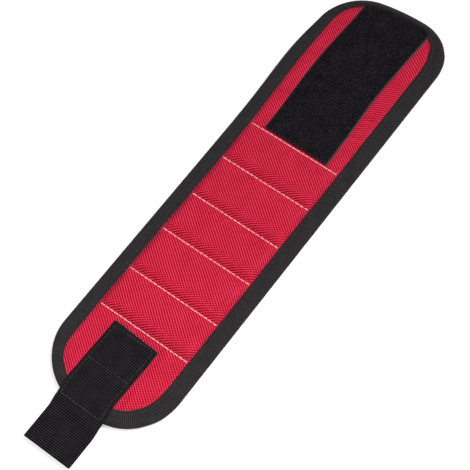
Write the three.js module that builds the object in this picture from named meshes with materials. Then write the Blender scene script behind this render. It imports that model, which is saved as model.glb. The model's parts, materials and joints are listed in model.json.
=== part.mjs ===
// Magnetic wristband, laid flat with the red face up and the strap end towards -X.
// A strip of cloth and lining is bound along its edge and sewn across into five magnet pockets.
// It folds at the six seams, at two bends in the loop end and where the strap leaves the band.

import * as THREE from "three";

// Plan of the band, in millimetres, from the strap end to the loop end
const BAND_WIDTH = 92;
const STRAP_END_LENGTH = 61.5;
const POCKET_LENGTHS = [30, 34, 31, 33, 32];
const LOOP_SECTION_LENGTHS = [42, 44];
const LOOP_TIP_LENGTH = 45.5;
const STRAP_CORNER_RADIUS = 39;
const STRAP_TIP_RADIUS = 120;
const LOOP_CORNER_RADIUS = 33;
const LOOP_TIP_RADIUS = 150;

// Layers, from the wrist outwards
const TAPE_THICKNESS = 0.8;
const TAPE_COVER = 11;
const LOOP_TIP_COVER = 5;
const LOOP_TIP_TAPER = [0.02, 0.22];
const LINING_SEWN = 0.9;
const PANEL_THICKNESS = 0.9;
const MAGNET_THICKNESS = 2.5;
const CLEARANCE = 0.3;

// Shape of the pockets and of the lining pads
const PUFF_RISE = 5.5;
const PAD_RISE = 3;
const MAGNETS_PER_POCKET = 2;
const MAGNET_GAP = 2;
const MAGNET_CORNER = 1.5;
const MAGNET_CHAMFER = 0.3;

// Strap with its hook tape, and the loop patch
const STRAP_WIDTH = 36;
const STRAP_THICKNESS = 1.4;
const STRAP_OVERHANG = 33;
const STRAP_SETBACK = 4;
const STRAP_HINGE_REACH = 1;
const STRAP_DROP = 8;
const HOOK_THICKNESS = 2;
const HOOK_MARGIN = 1;
const LOOP_WIDTH = 51;
const LOOP_THICKNESS = 1.8;
const LOOP_SETBACK = 2;
const EDGE_SOFTENING = 0.4;

// Seam thread
const STITCH_PITCH = 3.6;
const THREAD_RADIUS = 0.4;
const THREAD_NECK = 0.2;

// Folding: how far two sections can turn towards the wrist and away from it
const FOLD_LIMIT = THREE.MathUtils.degToRad(66);
const BACK_LIMIT = THREE.MathUtils.degToRad(25);
const STRAP_BACK_LIMIT = THREE.MathUtils.degToRad(110);

// Facets
const CORNER_STEPS = 8;
const TIP_STEPS = 6;
const PUFF_STEPS = 5;
const PUFF_CORNER_STEPS = 3;
const FOLD_STEPS = 6;
const STRAP_STEPS = 6;
const THREAD_SIDES = 5;

// Heights of the layers where they are sewn flat
const HALF_WIDTH = BAND_WIDTH / 2;
const LINING_LOW = TAPE_THICKNESS + CLEARANCE;
const LINING_HIGH = LINING_LOW + LINING_SEWN;
const PANEL_LOW = LINING_HIGH + CLEARANCE;
const PANEL_HIGH = PANEL_LOW + PANEL_THICKNESS;
const BINDING_HIGH = PANEL_HIGH + CLEARANCE + TAPE_THICKNESS;
const FOLD_HEIGHT = BINDING_HIGH / 2;
const MAGNET_LOW = LINING_HIGH + CLEARANCE;
const PUFF_HEIGHT = MAGNET_THICKNESS + CLEARANCE;
const OVER_PANEL = PANEL_HIGH + CLEARANCE;
const OVER_BINDING = BINDING_HIGH + CLEARANCE;
const STRAP_FOLD_HEIGHT = OVER_BINDING + STRAP_THICKNESS / 2;
const STRAP_TOP = OVER_BINDING + STRAP_THICKNESS;
const TAB_LOW = HOOK_THICKNESS + CLEARANCE;

// Edges of the sheets: inside the fold of the binding, and at the lip of the binding
const SHEET_INSET = FOLD_HEIGHT;
const LIP_INSET = TAPE_COVER + CLEARANCE;

const QUARTER = Math.PI / 2;
const sum = (lengths) => lengths.reduce((total, length) => total + length, 0);

// Half the slit between two pieces that turn about a line at a height, at another height
function slitAbout(line, z, backLimit) {
  const below = Math.max(0, line - z) * Math.tan(FOLD_LIMIT / 2);
  const above = Math.max(0, z - line) * Math.tan(backLimit / 2);
  return CLEARANCE + below + above;
}

const slit = (z) => slitAbout(FOLD_HEIGHT, z, BACK_LIMIT);
const strapSlit = (z) => slitAbout(STRAP_FOLD_HEIGHT, z, STRAP_BACK_LIMIT);

// A closed solid through rings of points; flat is one ring in its own plane, for both end faces
function loft(rings, flat) {
  const count = flat.length;
  const faces = [];
  for (let level = 0; level < rings.length - 1; level += 1) {
    const low = level * count;
    const high = low + count;
    for (let i = 0; i < count; i += 1) {
      const next = (i + 1) % count;
      faces.push(low + i, low + next, high + next, low + i, high + next, high + i);
    }
  }
  const last = (rings.length - 1) * count;
  const outline = flat.map(([across, up]) => new THREE.Vector2(across, up));
  THREE.ShapeUtils.triangulateShape(outline, []).forEach(([a, b, c]) => {
    faces.push(a, c, b, last + a, last + b, last + c);
  });
  const geometry = new THREE.BufferGeometry();
  geometry.setAttribute("position", new THREE.Float32BufferAttribute(rings.flat(2), 3));
  geometry.setIndex(faces);
  return geometry;
}

// A solid through level outlines in plan, each given as { outline, z }
function stack(levels) {
  const rings = levels.map(({ outline, z }) => outline.map(([x, y]) => [x, y, z]));
  return loft(rings, levels[0].outline);
}

function arc([x, y], radius, from, to, steps) {
  return Array.from({ length: steps + 1 }, (_, i) => {
    const angle = from + ((to - from) * i) / steps;
    return [x + radius * Math.cos(angle), y + radius * Math.sin(angle)];
  });
}

// Rectangle with rounded corners, counterclockwise
function roundedBox(from, to, halfWidth, radius) {
  const low = from + radius;
  const high = to - radius;
  const side = halfWidth - radius;
  return [
    ...arc([low, -side], radius, 2 * QUARTER, 3 * QUARTER, PUFF_CORNER_STEPS),
    ...arc([high, -side], radius, 3 * QUARTER, 4 * QUARTER, PUFF_CORNER_STEPS),
    ...arc([high, side], radius, 0, QUARTER, PUFF_CORNER_STEPS),
    ...arc([low, side], radius, QUARTER, 2 * QUARTER, PUFF_CORNER_STEPS),
  ];
}

// Rounded end of the band: two corner arcs run smoothly into a shallow tip arc.
// Points are [distance past the tip, y] with y rising; inset moves the line inwards.
class RoundedEnd {
  constructor(cornerRadius, tipRadius) {
    this.corner = Math.min(cornerRadius, HALF_WIDTH - CLEARANCE);
    this.tip = tipRadius;
    this.cornerSide = HALF_WIDTH - this.corner;
    const reach = Math.sqrt((this.tip - this.corner) ** 2 - this.cornerSide ** 2);
    this.cornerPast = reach - this.tip;
    this.turn = Math.atan2(this.cornerSide, reach);
  }

  line(inset) {
    const corner = this.corner - inset;
    const right = arc([this.cornerPast, -this.cornerSide], corner, -QUARTER, -this.turn, CORNER_STEPS);
    const tip = arc([-this.tip, 0], this.tip - inset, -this.turn, this.turn, TIP_STEPS);
    const left = arc([this.cornerPast, this.cornerSide], corner, this.turn, QUARTER, CORNER_STEPS);
    return [...right, ...tip.slice(1, -1), ...left];
  }

  pastAt(y, inset) {
    const across = Math.abs(y);
    const tip = this.tip - inset;
    if (across <= tip * Math.sin(this.turn)) return Math.sqrt(tip ** 2 - across ** 2) - this.tip;
    return this.cornerPast + Math.sqrt((this.corner - inset) ** 2 - (across - this.cornerSide) ** 2);
  }
}

const STRAP_TIP = new RoundedEnd(STRAP_CORNER_RADIUS, STRAP_TIP_RADIUS);
const LOOP_TIP = new RoundedEnd(LOOP_CORNER_RADIUS, LOOP_TIP_RADIUS);

// Plan outlines of the three kinds of section, each from x = 0 at its strap side.
// inset draws the bound edge inwards, and gap draws the sewn edges back.
const straightOutline = (length) => (inset, gap) => {
  const side = HALF_WIDTH - inset;
  return [[gap, -side], [length - gap, -side], [length - gap, side], [gap, side]];
};

function strapEndOutline(inset, gap) {
  const side = HALF_WIDTH - inset;
  const sewn = STRAP_END_LENGTH - gap;
  const curve = STRAP_TIP.line(inset).reverse().map(([past, y]) => [-past, y]);
  return [[sewn, -side], [sewn, side], ...curve];
}

function loopTipOutline(inset, gap) {
  const side = HALF_WIDTH - inset;
  const curve = LOOP_TIP.line(inset).map(([past, y]) => [LOOP_TIP_LENGTH + past, y]);
  return [[gap, side], [gap, -side], ...curve];
}

// Front panel over a section without magnets: a flat sheet
function flatPanel(outlineAt) {
  return stack([
    { outline: outlineAt(SHEET_INSET, slit(PANEL_LOW)), z: PANEL_LOW },
    { outline: outlineAt(SHEET_INSET, slit(PANEL_HIGH)), z: PANEL_HIGH },
  ]);
}

// Front panel over a pocket: sewn flat round its edge and puffed up over the magnets
function puffedPanel(length) {
  const edge = (z) => {
    const gap = slit(z);
    return { outline: roundedBox(gap, length - gap, HALF_WIDTH - SHEET_INSET, CLEARANCE), z };
  };
  const puff = (base) => Array.from({ length: PUFF_STEPS + 1 }, (_, step) => {
    const share = step / PUFF_STEPS;
    const drawn = slit(PANEL_HIGH) + CLEARANCE + PUFF_RISE * share;
    const side = HALF_WIDTH - LIP_INSET - PUFF_RISE * share;
    const radius = CLEARANCE + (PUFF_RISE / 2) * share;
    return {
      outline: roundedBox(drawn, length - drawn, side, radius),
      z: base + PUFF_HEIGHT * Math.sin(share * QUARTER),
    };
  });
  return stack([...puff(PANEL_LOW).reverse(), edge(PANEL_LOW), edge(PANEL_HIGH), ...puff(PANEL_HIGH)]);
}

// Lining: thin where the binding grips it, a pad down to the wrist inside the binding
function lining(outlineAt) {
  return stack([
    { outline: outlineAt(LIP_INSET + PAD_RISE, slit(0) + PAD_RISE), z: 0 },
    { outline: outlineAt(LIP_INSET, slit(LINING_LOW) + CLEARANCE), z: LINING_LOW },
    { outline: outlineAt(SHEET_INSET, slit(LINING_LOW)), z: LINING_LOW },
    { outline: outlineAt(SHEET_INSET, slit(LINING_HIGH)), z: LINING_HIGH },
  ]);
}

// Section of the folded tape, as [inset from the edge, z]: outside of the fold, then its inside.
// cover is how far its upper lip reaches over the front.
function tapeSection(cover = TAPE_COVER) {
  const centre = [FOLD_HEIGHT, FOLD_HEIGHT];
  const outside = arc(centre, FOLD_HEIGHT, QUARTER, 3 * QUARTER, FOLD_STEPS);
  const inside = arc(centre, FOLD_HEIGHT - TAPE_THICKNESS, 3 * QUARTER, QUARTER, FOLD_STEPS);
  return [
    [cover, BINDING_HIGH],
    ...outside,
    [TAPE_COVER, 0],
    [TAPE_COVER, TAPE_THICKNESS],
    ...inside,
    [cover, BINDING_HIGH - TAPE_THICKNESS],
  ];
}

// Cut end of the binding on one side, notched so that it can fold; open is +1 or -1 along X
function bindingCut(x, open, side) {
  return tapeSection().map(([inset, z]) => [x + open * slit(z), side * (HALF_WIDTH - inset), z]);
}

// Straight length of binding on the left edge
function bindingRail(length) {
  return loft([bindingCut(length, -1, 1), bindingCut(0, 1, 1)], tapeSection());
}

// Binding round a rounded end, from the cut on one side to the cut on the other.
// coverAt gives the upper lip's reach at a share of the way round.
function bindingBow(end, cuts, toX, coverAt) {
  const last = end.line(0).length - 1;
  const bow = end.line(0).map((_, i) => tapeSection(coverAt(i / last)).map(([inset, z]) => {
    const [past, y] = end.line(inset)[i];
    return [toX(past), y, z];
  }));
  return [cuts[0], ...bow, cuts[1]];
}

function strapEndBinding() {
  const cuts = [-1, 1].map((side) => bindingCut(STRAP_END_LENGTH, -1, side));
  return loft(bindingBow(STRAP_TIP, cuts, (past) => -past, () => TAPE_COVER).reverse(), tapeSection());
}

function loopTipBinding() {
  const cuts = [-1, 1].map((side) => bindingCut(0, 1, side));
  const coverAt = (share) => {
    const narrowed = THREE.MathUtils.smoothstep(Math.min(share, 1 - share), ...LOOP_TIP_TAPER);
    return THREE.MathUtils.lerp(TAPE_COVER, LOOP_TIP_COVER, narrowed);
  };
  return loft(bindingBow(LOOP_TIP, cuts, (past) => LOOP_TIP_LENGTH + past, coverAt), tapeSection());
}

// Block magnets lie side by side across a pocket, under the level part of its panel
const MAGNET_LENGTH = Math.min(...POCKET_LENGTHS) - 2 * (slit(PANEL_HIGH) + 2 * CLEARANCE + PUFF_RISE);
const MAGNET_ROW = BAND_WIDTH - 2 * (LIP_INSET + PUFF_RISE + CLEARANCE);
const MAGNET_WIDTH = (MAGNET_ROW - MAGNET_GAP * (MAGNETS_PER_POCKET - 1)) / MAGNETS_PER_POCKET;

function magnetBlock() {
  const outline = (drawn) => {
    const half = MAGNET_LENGTH / 2 - drawn;
    return roundedBox(-half, half, MAGNET_WIDTH / 2 - drawn, MAGNET_CORNER - drawn);
  };
  return stack([
    { outline: outline(MAGNET_CHAMFER), z: 0 },
    { outline: outline(0), z: MAGNET_CHAMFER },
    { outline: outline(0), z: MAGNET_THICKNESS - MAGNET_CHAMFER },
    { outline: outline(MAGNET_CHAMFER), z: MAGNET_THICKNESS },
  ]);
}

// Row of stitches along a seam, as one thread that swells at every stitch
function seamThread() {
  const span = 2 * (HALF_WIDTH - LIP_INSET - CLEARANCE);
  const count = Math.max(1, Math.round(span / STITCH_PITCH));
  const pitch = span / count;
  const stitches = Array.from({ length: count }, (_, i) => {
    const start = i * pitch - span / 2;
    return [
      new THREE.Vector2(THREAD_NECK, start + CLEARANCE / 2),
      new THREE.Vector2(THREAD_RADIUS, start + pitch / 4),
      new THREE.Vector2(THREAD_RADIUS, start + (3 * pitch) / 4),
    ];
  });
  const ends = [-span / 2, span / 2].map((y) => new THREE.Vector2(0, y));
  return new THREE.LatheGeometry([ends[0], ...stitches.flat(), ends[1]], THREAD_SIDES);
}

// Loop patch with softened upper edges; nearAt(z) and farAt(z, y) give its ends, and rows its far points
function loopPatch(nearAt, farAt, rows) {
  const outline = (z, drawn) => {
    const side = LOOP_WIDTH / 2 - drawn;
    const far = Array.from({ length: rows + 1 }, (_, i) => {
      const y = side * ((2 * i) / rows - 1);
      return [farAt(z, y) - drawn, y];
    });
    const near = nearAt(z) + drawn;
    return [[near, side], [near, -side], ...far];
  };
  const high = OVER_PANEL + LOOP_THICKNESS;
  const shoulder = high - EDGE_SOFTENING;
  return stack([
    { outline: outline(OVER_PANEL, 0), z: OVER_PANEL },
    { outline: outline(shoulder, 0), z: shoulder },
    { outline: outline(high, EDGE_SOFTENING), z: high },
  ]);
}

// Strap through cross-sections { under, middle, over, z }: where its underside, middle and top lie
// along the band, and the height of its underside
function ribbon(profile) {
  const half = STRAP_WIDTH / 2;
  const core = STRAP_THICKNESS / 2;
  const rings = profile.map(({ under, middle, over, z }) => [
    [under, -half, z],
    [under, half, z],
    [middle, half, z + core],
    [over, half, z + STRAP_THICKNESS],
    [over, -half, z + STRAP_THICKNESS],
    [middle, -half, z + core],
  ]);
  const section = [[-half, 0], [half, 0], [half, core], [half, STRAP_THICKNESS]];
  return loft(rings, [...section, [-half, STRAP_THICKNESS], [-half, core]]);
}

// A square cross-section of the strap, and the notched one at its fold; open is +1 or -1 along X
const square = (x, z) => ({ under: x, middle: x, over: x, z });
const notched = (open) => ({
  under: open * strapSlit(OVER_BINDING) - STRAP_HINGE_REACH,
  middle: open * strapSlit(STRAP_FOLD_HEIGHT) - STRAP_HINGE_REACH,
  over: open * strapSlit(STRAP_TOP) - STRAP_HINGE_REACH,
  z: OVER_BINDING,
});

// A smooth change of height along the strap
function sway(from, to, low, high) {
  return Array.from({ length: STRAP_STEPS + 1 }, (_, i) => {
    const share = i / STRAP_STEPS;
    return square(from + (to - from) * share, low + (high - low) * share * share * (3 - 2 * share));
  });
}

// Sewn part of the strap: flat on the panel, then up over the binding to the fold line
function strapAnchor() {
  const climbEnd = LIP_INSET + 2 * CLEARANCE;
  const climb = sway(climbEnd, climbEnd + STRAP_DROP, OVER_BINDING, OVER_PANEL);
  return ribbon([notched(1), ...climb, square(STRAP_END_LENGTH - STRAP_SETBACK, OVER_PANEL)]);
}

const FALL_START = -STRAP_HINGE_REACH - strapSlit(STRAP_TOP) - CLEARANCE;
const FALL_END = FALL_START - STRAP_DROP;

// Free part of the strap: it drops past the binding and lies on its hook tape
function strapTab() {
  const fall = sway(FALL_END, FALL_START, TAB_LOW, OVER_BINDING);
  return ribbon([square(-STRAP_OVERHANG, TAB_LOW), ...fall, notched(-1)]);
}

function hookTape() {
  const outline = (drawn) => {
    const side = STRAP_WIDTH / 2 - HOOK_MARGIN - drawn;
    const low = HOOK_MARGIN + drawn - STRAP_OVERHANG;
    const high = FALL_END - HOOK_MARGIN - drawn;
    return [[low, -side], [high, -side], [high, side], [low, side]];
  };
  return stack([
    { outline: outline(EDGE_SOFTENING), z: 0 },
    { outline: outline(0), z: EDGE_SOFTENING },
    { outline: outline(0), z: HOOK_THICKNESS },
  ]);
}

const nylon = new THREE.MeshStandardMaterial({ color: 0xc82a44, roughness: 0.75, metalness: 0 });
const tape = new THREE.MeshStandardMaterial({ color: 0x3a3738, roughness: 0.8, metalness: 0 });
const webbing = new THREE.MeshStandardMaterial({ color: 0x222023, roughness: 0.85, metalness: 0 });
const pile = new THREE.MeshStandardMaterial({ color: 0x1a181d, roughness: 0.95, metalness: 0 });
const mesh = new THREE.MeshStandardMaterial({ color: 0x17171a, roughness: 0.9, metalness: 0 });
const hooks = new THREE.MeshStandardMaterial({ color: 0x151517, roughness: 0.7, metalness: 0 });
const ferrite = new THREE.MeshStandardMaterial({ color: 0x4a4a4d, roughness: 0.6, metalness: 0.3 });
const thread = new THREE.MeshStandardMaterial({ color: 0xf3d9ae, roughness: 0.7, metalness: 0 });

function piece(name, geometry, material) {
  const made = new THREE.Mesh(geometry, material);
  made.name = name;
  return made;
}

// Panel, lining and both edges of a straight section
function straightSection(name, length, panel) {
  const section = new THREE.Group();
  const rail = bindingRail(length);
  const left = piece(`${name}_binding_left`, rail, tape);
  const right = piece(`${name}_binding_right`, rail, tape);
  right.position.x = length;
  right.rotation.z = Math.PI;
  section.add(piece(`${name}_panel`, panel, nylon));
  section.add(piece(`${name}_lining`, lining(straightOutline(length)), mesh));
  section.add(left, right);
  return section;
}

function pocket(name, length) {
  const section = straightSection(name, length, puffedPanel(length));
  const block = magnetBlock();
  for (let seat = 0; seat < MAGNETS_PER_POCKET; seat += 1) {
    const magnet = piece(`${name}_magnet_${seat + 1}`, block, ferrite);
    const y = (seat - (MAGNETS_PER_POCKET - 1) / 2) * (MAGNET_WIDTH + MAGNET_GAP);
    magnet.position.set(length / 2, y, MAGNET_LOW);
    section.add(magnet);
  }
  return section;
}

function loopSection(name, length, nearAt) {
  const section = straightSection(name, length, flatPanel(straightOutline(length)));
  section.add(piece(`${name}_loop`, loopPatch(nearAt, (z) => length - slit(z), 1), pile));
  return section;
}

function strapEnd() {
  const section = new THREE.Group();
  section.add(piece("strap_end_panel", flatPanel(strapEndOutline), nylon));
  section.add(piece("strap_end_lining", lining(strapEndOutline), mesh));
  section.add(piece("strap_end_binding", strapEndBinding(), tape));
  section.add(piece("strap_anchor", strapAnchor(), webbing));
  section.add(piece("strap_tab", strapTab(), webbing));
  section.add(piece("hook_tape", hookTape(), hooks));
  return section;
}

function loopTip(name) {
  const section = new THREE.Group();
  const tipEdge = (_, y) => LOOP_TIP_LENGTH + LOOP_TIP.pastAt(y, LOOP_TIP_COVER + CLEARANCE);
  section.add(piece(`${name}_panel`, flatPanel(loopTipOutline), nylon));
  section.add(piece(`${name}_lining`, lining(loopTipOutline), mesh));
  section.add(piece(`${name}_binding`, loopTipBinding(), tape));
  section.add(piece(`${name}_loop`, loopPatch(slit, tipEdge, CORNER_STEPS), pile));
  return section;
}

// Lay the sections one after another along the band, each in its own group
const sections = [
  { group: strapEnd(), length: STRAP_END_LENGTH },
  ...POCKET_LENGTHS.map((length, i) => ({ group: pocket(`pocket_${i + 1}`, length), length })),
  ...LOOP_SECTION_LENGTHS.map((length, i) => {
    const nearAt = i === 0 ? () => LOOP_SETBACK : slit;
    return { group: loopSection(`loop_end_${i + 1}`, length, nearAt), length };
  }),
  { group: loopTip(`loop_end_${LOOP_SECTION_LENGTHS.length + 1}`), length: LOOP_TIP_LENGTH },
];
const band = new THREE.Group();
const bandLength = sum(sections.map(({ length }) => length));
band.position.x = (STRAP_OVERHANG - bandLength) / 2;
sections.forEach(({ group }, i) => {
  group.position.x = sum(sections.slice(0, i).map(({ length }) => length));
  band.add(group);
});

// A seam at both ends of every pocket
const stitching = seamThread();
for (let i = 0; i <= POCKET_LENGTHS.length; i += 1) {
  const seam = piece(`seam_${i + 1}_thread`, stitching, thread);
  const x = STRAP_END_LENGTH + sum(POCKET_LENGTHS.slice(0, i));
  seam.position.set(x, 0, OVER_PANEL + THREAD_RADIUS);
  band.add(seam);
}

export default band;
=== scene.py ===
"""Looks of a magnetic wristband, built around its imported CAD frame.

The band lies flat with its red face up and its strap end towards -X.  Sizes are in
millimetres, and a mesh becomes metres when it is handed over as a piece.
"""

import json
import logging
import math
import random
from dataclasses import dataclass
from enum import Enum
from functools import cached_property
from typing import Callable, Iterable

import bmesh
import bpy
from bmesh.types import BMEdge, BMesh, BMFace, BMVert
from bpy.types import Material, Mesh, Node, NodeSocket, NodeTree, Object
from mathutils import Matrix, Quaternion, Vector, noise


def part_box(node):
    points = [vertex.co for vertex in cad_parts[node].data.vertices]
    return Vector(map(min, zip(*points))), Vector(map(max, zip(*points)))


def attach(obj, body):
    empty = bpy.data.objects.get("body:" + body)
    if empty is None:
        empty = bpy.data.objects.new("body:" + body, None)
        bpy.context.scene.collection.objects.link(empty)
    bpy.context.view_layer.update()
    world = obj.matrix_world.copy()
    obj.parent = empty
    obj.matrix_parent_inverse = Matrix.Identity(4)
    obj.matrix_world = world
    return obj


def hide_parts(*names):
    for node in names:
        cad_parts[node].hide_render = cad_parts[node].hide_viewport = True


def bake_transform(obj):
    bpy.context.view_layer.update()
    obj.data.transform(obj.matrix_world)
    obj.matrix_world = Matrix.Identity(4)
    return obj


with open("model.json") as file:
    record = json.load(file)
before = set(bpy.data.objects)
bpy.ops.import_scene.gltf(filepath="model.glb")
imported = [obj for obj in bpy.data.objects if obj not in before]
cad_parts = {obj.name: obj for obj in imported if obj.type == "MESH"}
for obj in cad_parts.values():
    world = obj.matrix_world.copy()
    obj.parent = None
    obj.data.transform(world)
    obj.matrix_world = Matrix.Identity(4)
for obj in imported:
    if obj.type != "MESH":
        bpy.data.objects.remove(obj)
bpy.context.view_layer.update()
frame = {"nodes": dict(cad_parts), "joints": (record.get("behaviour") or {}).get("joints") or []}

log = logging.getLogger("wristband")

MM = 0.001
MERGE = 1e-4
MAP_STEP = 100.0
CLOTH_MAP = "cloth"
# The attribute that tells the nylon where its painted shade lines turn.
LEAN_MAP = "lean"
SMOOTH_UP_TO = math.radians(50)
ALONG = Vector((1, 0, 0))
ACROSS = Vector((0, 1, 0))
UP = Vector((0, 0, 1))

Colour = tuple[float, float, float]
Marks = tuple[tuple[float, float], ...]
Grid = dict[BMVert, tuple[int, int]]
Place = Callable[[BMVert], Iterable[float]]


class Slot(Enum):
    """The record's material slots."""

    NYLON = "red_nylon"
    LINING = "lining_mesh"
    BINDING = "binding_tape"
    WEBBING = "webbing"
    PILE = "loop_pile"
    HOOKS = "hook_tape"
    MAGNET = "magnet_block"
    THREAD = "seam_thread"


class Face(Enum):
    """The two faces of the band."""

    OUTER = 1
    WRIST = -1


class Drift(Enum):
    """The kinds of small unevenness: the seed of each, and its cells to a unit each way."""

    PILE_LUMPS = (1.0, 0.55, 0.55)
    SEAM_TURN = (2.0, 0.9, 4.7)
    TAPE_PUCKERS = (3.0, 0.23, 0.23)
    STRAP_EDGE = (4.0, 0.11, 3.0)
    SEAM_PUCKERS = (5.0, 0.21, 1.0)
    FINE_LUMPS = (6.0, 1.4, 1.4)
    WEAVE_LEAN = (7.0, 0.08, 0.02)
    SEAM_SHIFT = (8.0, 0.12, 2.3)
    CREASES = (9.0, 0.055, 0.09)
    TAPE_EDGE = (11.0, 0.05, 0.05)


def clamp(share: float) -> float:
    """A share held between 0 and 1."""
    return min(1.0, max(0.0, share))


def ease(share: float) -> float:
    """A smooth step from 0 to 1."""
    held = clamp(share)
    return held * held * (3 - 2 * held)


def bell(offset: float, reach: float) -> float:
    """A bell curve: 1 in its middle and about a third at its reach."""
    return math.exp(-((offset / reach) ** 2))


def along_marks(place: float, marks: Marks) -> float:
    """A value read off a row of marks, each a place and its value.

    Args:
        place: Where to read.
        marks: The marks, in the order of their places.

    Returns:
        The value, eased between two marks and held past the ends.
    """
    for (start, low), (end, high) in zip(marks, marks[1:]):
        if place < end:
            return low + (high - low) * ease((place - start) / (end - start))
    return marks[-1][1]


def wander(x: float, y: float, drift: Drift) -> float:
    """Smooth unevenness of about -1 to 1 at a place."""
    seed, along, across = drift.value
    return noise.noise(Vector((x * along, y * across, seed)))


def row(start: float, end: float, pitch: float) -> list[float]:
    """The middles of a row's stitches, which fill it at about a pitch."""
    count = round((end - start) / pitch)
    return [start + (end - start) * (index + 0.5) / count for index in range(count)]


def open_edges(bm: BMesh) -> list[BMEdge]:
    """The edges that bound an opening of a mesh."""
    return [edge for edge in bm.edges if edge.is_boundary]


def face_out(bm: BMesh) -> None:
    """Turns a mesh's faces outwards."""
    bmesh.ops.recalc_face_normals(bm, faces=bm.faces[:])


def close_up(bm: BMesh) -> None:
    """Merges the doubled seam of a wrapped mesh, fills its ends and turns its faces outwards.

    Args:
        bm: The mesh, in millimetres.
    """
    bmesh.ops.remove_doubles(bm, verts=bm.verts[:], dist=MERGE)
    bmesh.ops.holes_fill(bm, edges=open_edges(bm), sides=0)
    face_out(bm)


def cut_off(bm: BMesh, point: Vector, outward: Vector) -> None:
    """Cuts off what lies past a plane.

    Args:
        bm: The mesh, in millimetres.
        point: A point of the plane.
        outward: The way to the side that goes.
    """
    bmesh.ops.bisect_plane(
        bm,
        geom=[*bm.verts, *bm.edges, *bm.faces],
        dist=MERGE,
        plane_co=point.to_3d(),
        plane_no=outward.to_3d(),
        clear_outer=True,
    )


def cut_between(mesh: Mesh, start: float, end: float) -> BMesh:
    """The part of a mesh between two places along the band.

    Args:
        mesh: The mesh, in millimetres.
        start: Where the part starts along X.
        end: Where it ends.

    Returns:
        The part.
    """
    bm = bmesh.new()
    bm.from_mesh(mesh)
    for place, heading in ((start, -1.0), (end, 1.0)):
        cut_off(bm, ALONG * place, ALONG * heading)
    return bm


def extrude(bm: BMesh) -> tuple[list[BMVert], list[BMFace]]:
    """Extrudes all faces of a sheet.

    Args:
        bm: The sheet.

    Returns:
        The new vertices and the new faces.
    """
    made = bmesh.ops.extrude_face_region(bm, geom=bm.faces[:])["geom"]
    verts = [item for item in made if isinstance(item, BMVert)]
    return verts, [item for item in made if isinstance(item, BMFace)]


def lay_map(bm: BMesh, place: Place) -> None:
    """Writes the cloth map, which counts in steps of MAP_STEP millimetres.

    Args:
        bm: The mesh.
        place: Gives a vertex's place along and across the cloth, in millimetres.
    """
    layer = bm.loops.layers.uv.verify()
    for face in bm.faces:
        for loop in face.loops:
            along, across = place(loop.vert)
            loop[layer].uv = (along / MAP_STEP, across / MAP_STEP)


def tube_grid(rings: int, step: float, across: list[float]) -> tuple[BMesh, Grid]:
    """A grid that is to be wrapped into a tube, with its cloth map.

    Args:
        rings: Steps along the tube.
        step: Length of each.
        across: Place across the cloth for every step around the tube.

    Returns:
        The grid, and each vertex's step along and around.
    """
    around = len(across)
    bm = bmesh.new()
    bmesh.ops.create_grid(bm, x_segments=rings, y_segments=around, size=0.5)
    steps = {
        vert: (round((vert.co.x + 0.5) * rings), round((vert.co.y + 0.5) * around) % around)
        for vert in bm.verts
    }
    lay_map(bm, lambda vert: (steps[vert][0] * step, across[steps[vert][1]]))
    return bm, steps


def to_mesh(bm: BMesh, name: str) -> Mesh:
    """A bmesh as a named mesh.

    Args:
        bm: The bmesh, which is freed.
        name: The mesh's name.

    Returns:
        The mesh.
    """
    mesh = bpy.data.meshes.new(name)
    bm.to_mesh(mesh)
    bm.free()
    return mesh


def show(name: str, data: bpy.types.ID) -> Object:
    """A new object of the scene.

    Args:
        name: Its name.
        data: Its mesh, camera or lamp.

    Returns:
        The object, at the origin.
    """
    thing = bpy.data.objects.new(name, data)
    bpy.context.scene.collection.objects.link(thing)
    return thing


def set_out(template: Mesh, places: Iterable[Matrix]) -> BMesh:
    """Repeats a small mesh at many places.

    Args:
        template: The mesh to repeat.
        places: A matrix for each copy.

    Returns:
        One mesh with all the copies.
    """
    bm = bmesh.new()
    for place in places:
        copy = template.copy()
        copy.transform(place)
        bm.from_mesh(copy)
        bpy.data.meshes.remove(copy)
    return bm


@dataclass(frozen=True)
class Laying:
    """How the band lies in the photo: its ends a little askew, its loop end bowed."""

    askew: Marks = ((-155.0, 0.04), (-110.0, 0.0), (140.0, 0.0), (185.0, -0.08))
    bow: Marks = ((-37.0, 0.0), (-24.0, 2.5))
    bow_at: float = 126.0
    bow_before: float = 38.0
    bow_past: float = 46.0
    trim: Marks = ((24.0, 0.0), (44.0, 1.3))
    trim_at: float = 162.0
    trim_reach: float = 22.0
    spread: Marks = ((-44.0, -0.6), (-38.0, 0.0))

    def lay(self, bm: BMesh) -> None:
        """Moves a part of the band to where it lies.

        Args:
            bm: The mesh, in millimetres.
        """
        for vert in bm.verts:
            x, y = vert.co.x, vert.co.y
            reach = self.bow_before if x < self.bow_at else self.bow_past
            bow = bell(x - self.bow_at, reach) * along_marks(y, self.bow)
            trim = bell(x - self.trim_at, self.trim_reach) * along_marks(y, self.trim)
            vert.co.x += along_marks(x, self.askew) * y
            vert.co.y += bow - trim + along_marks(y, self.spread)


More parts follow.
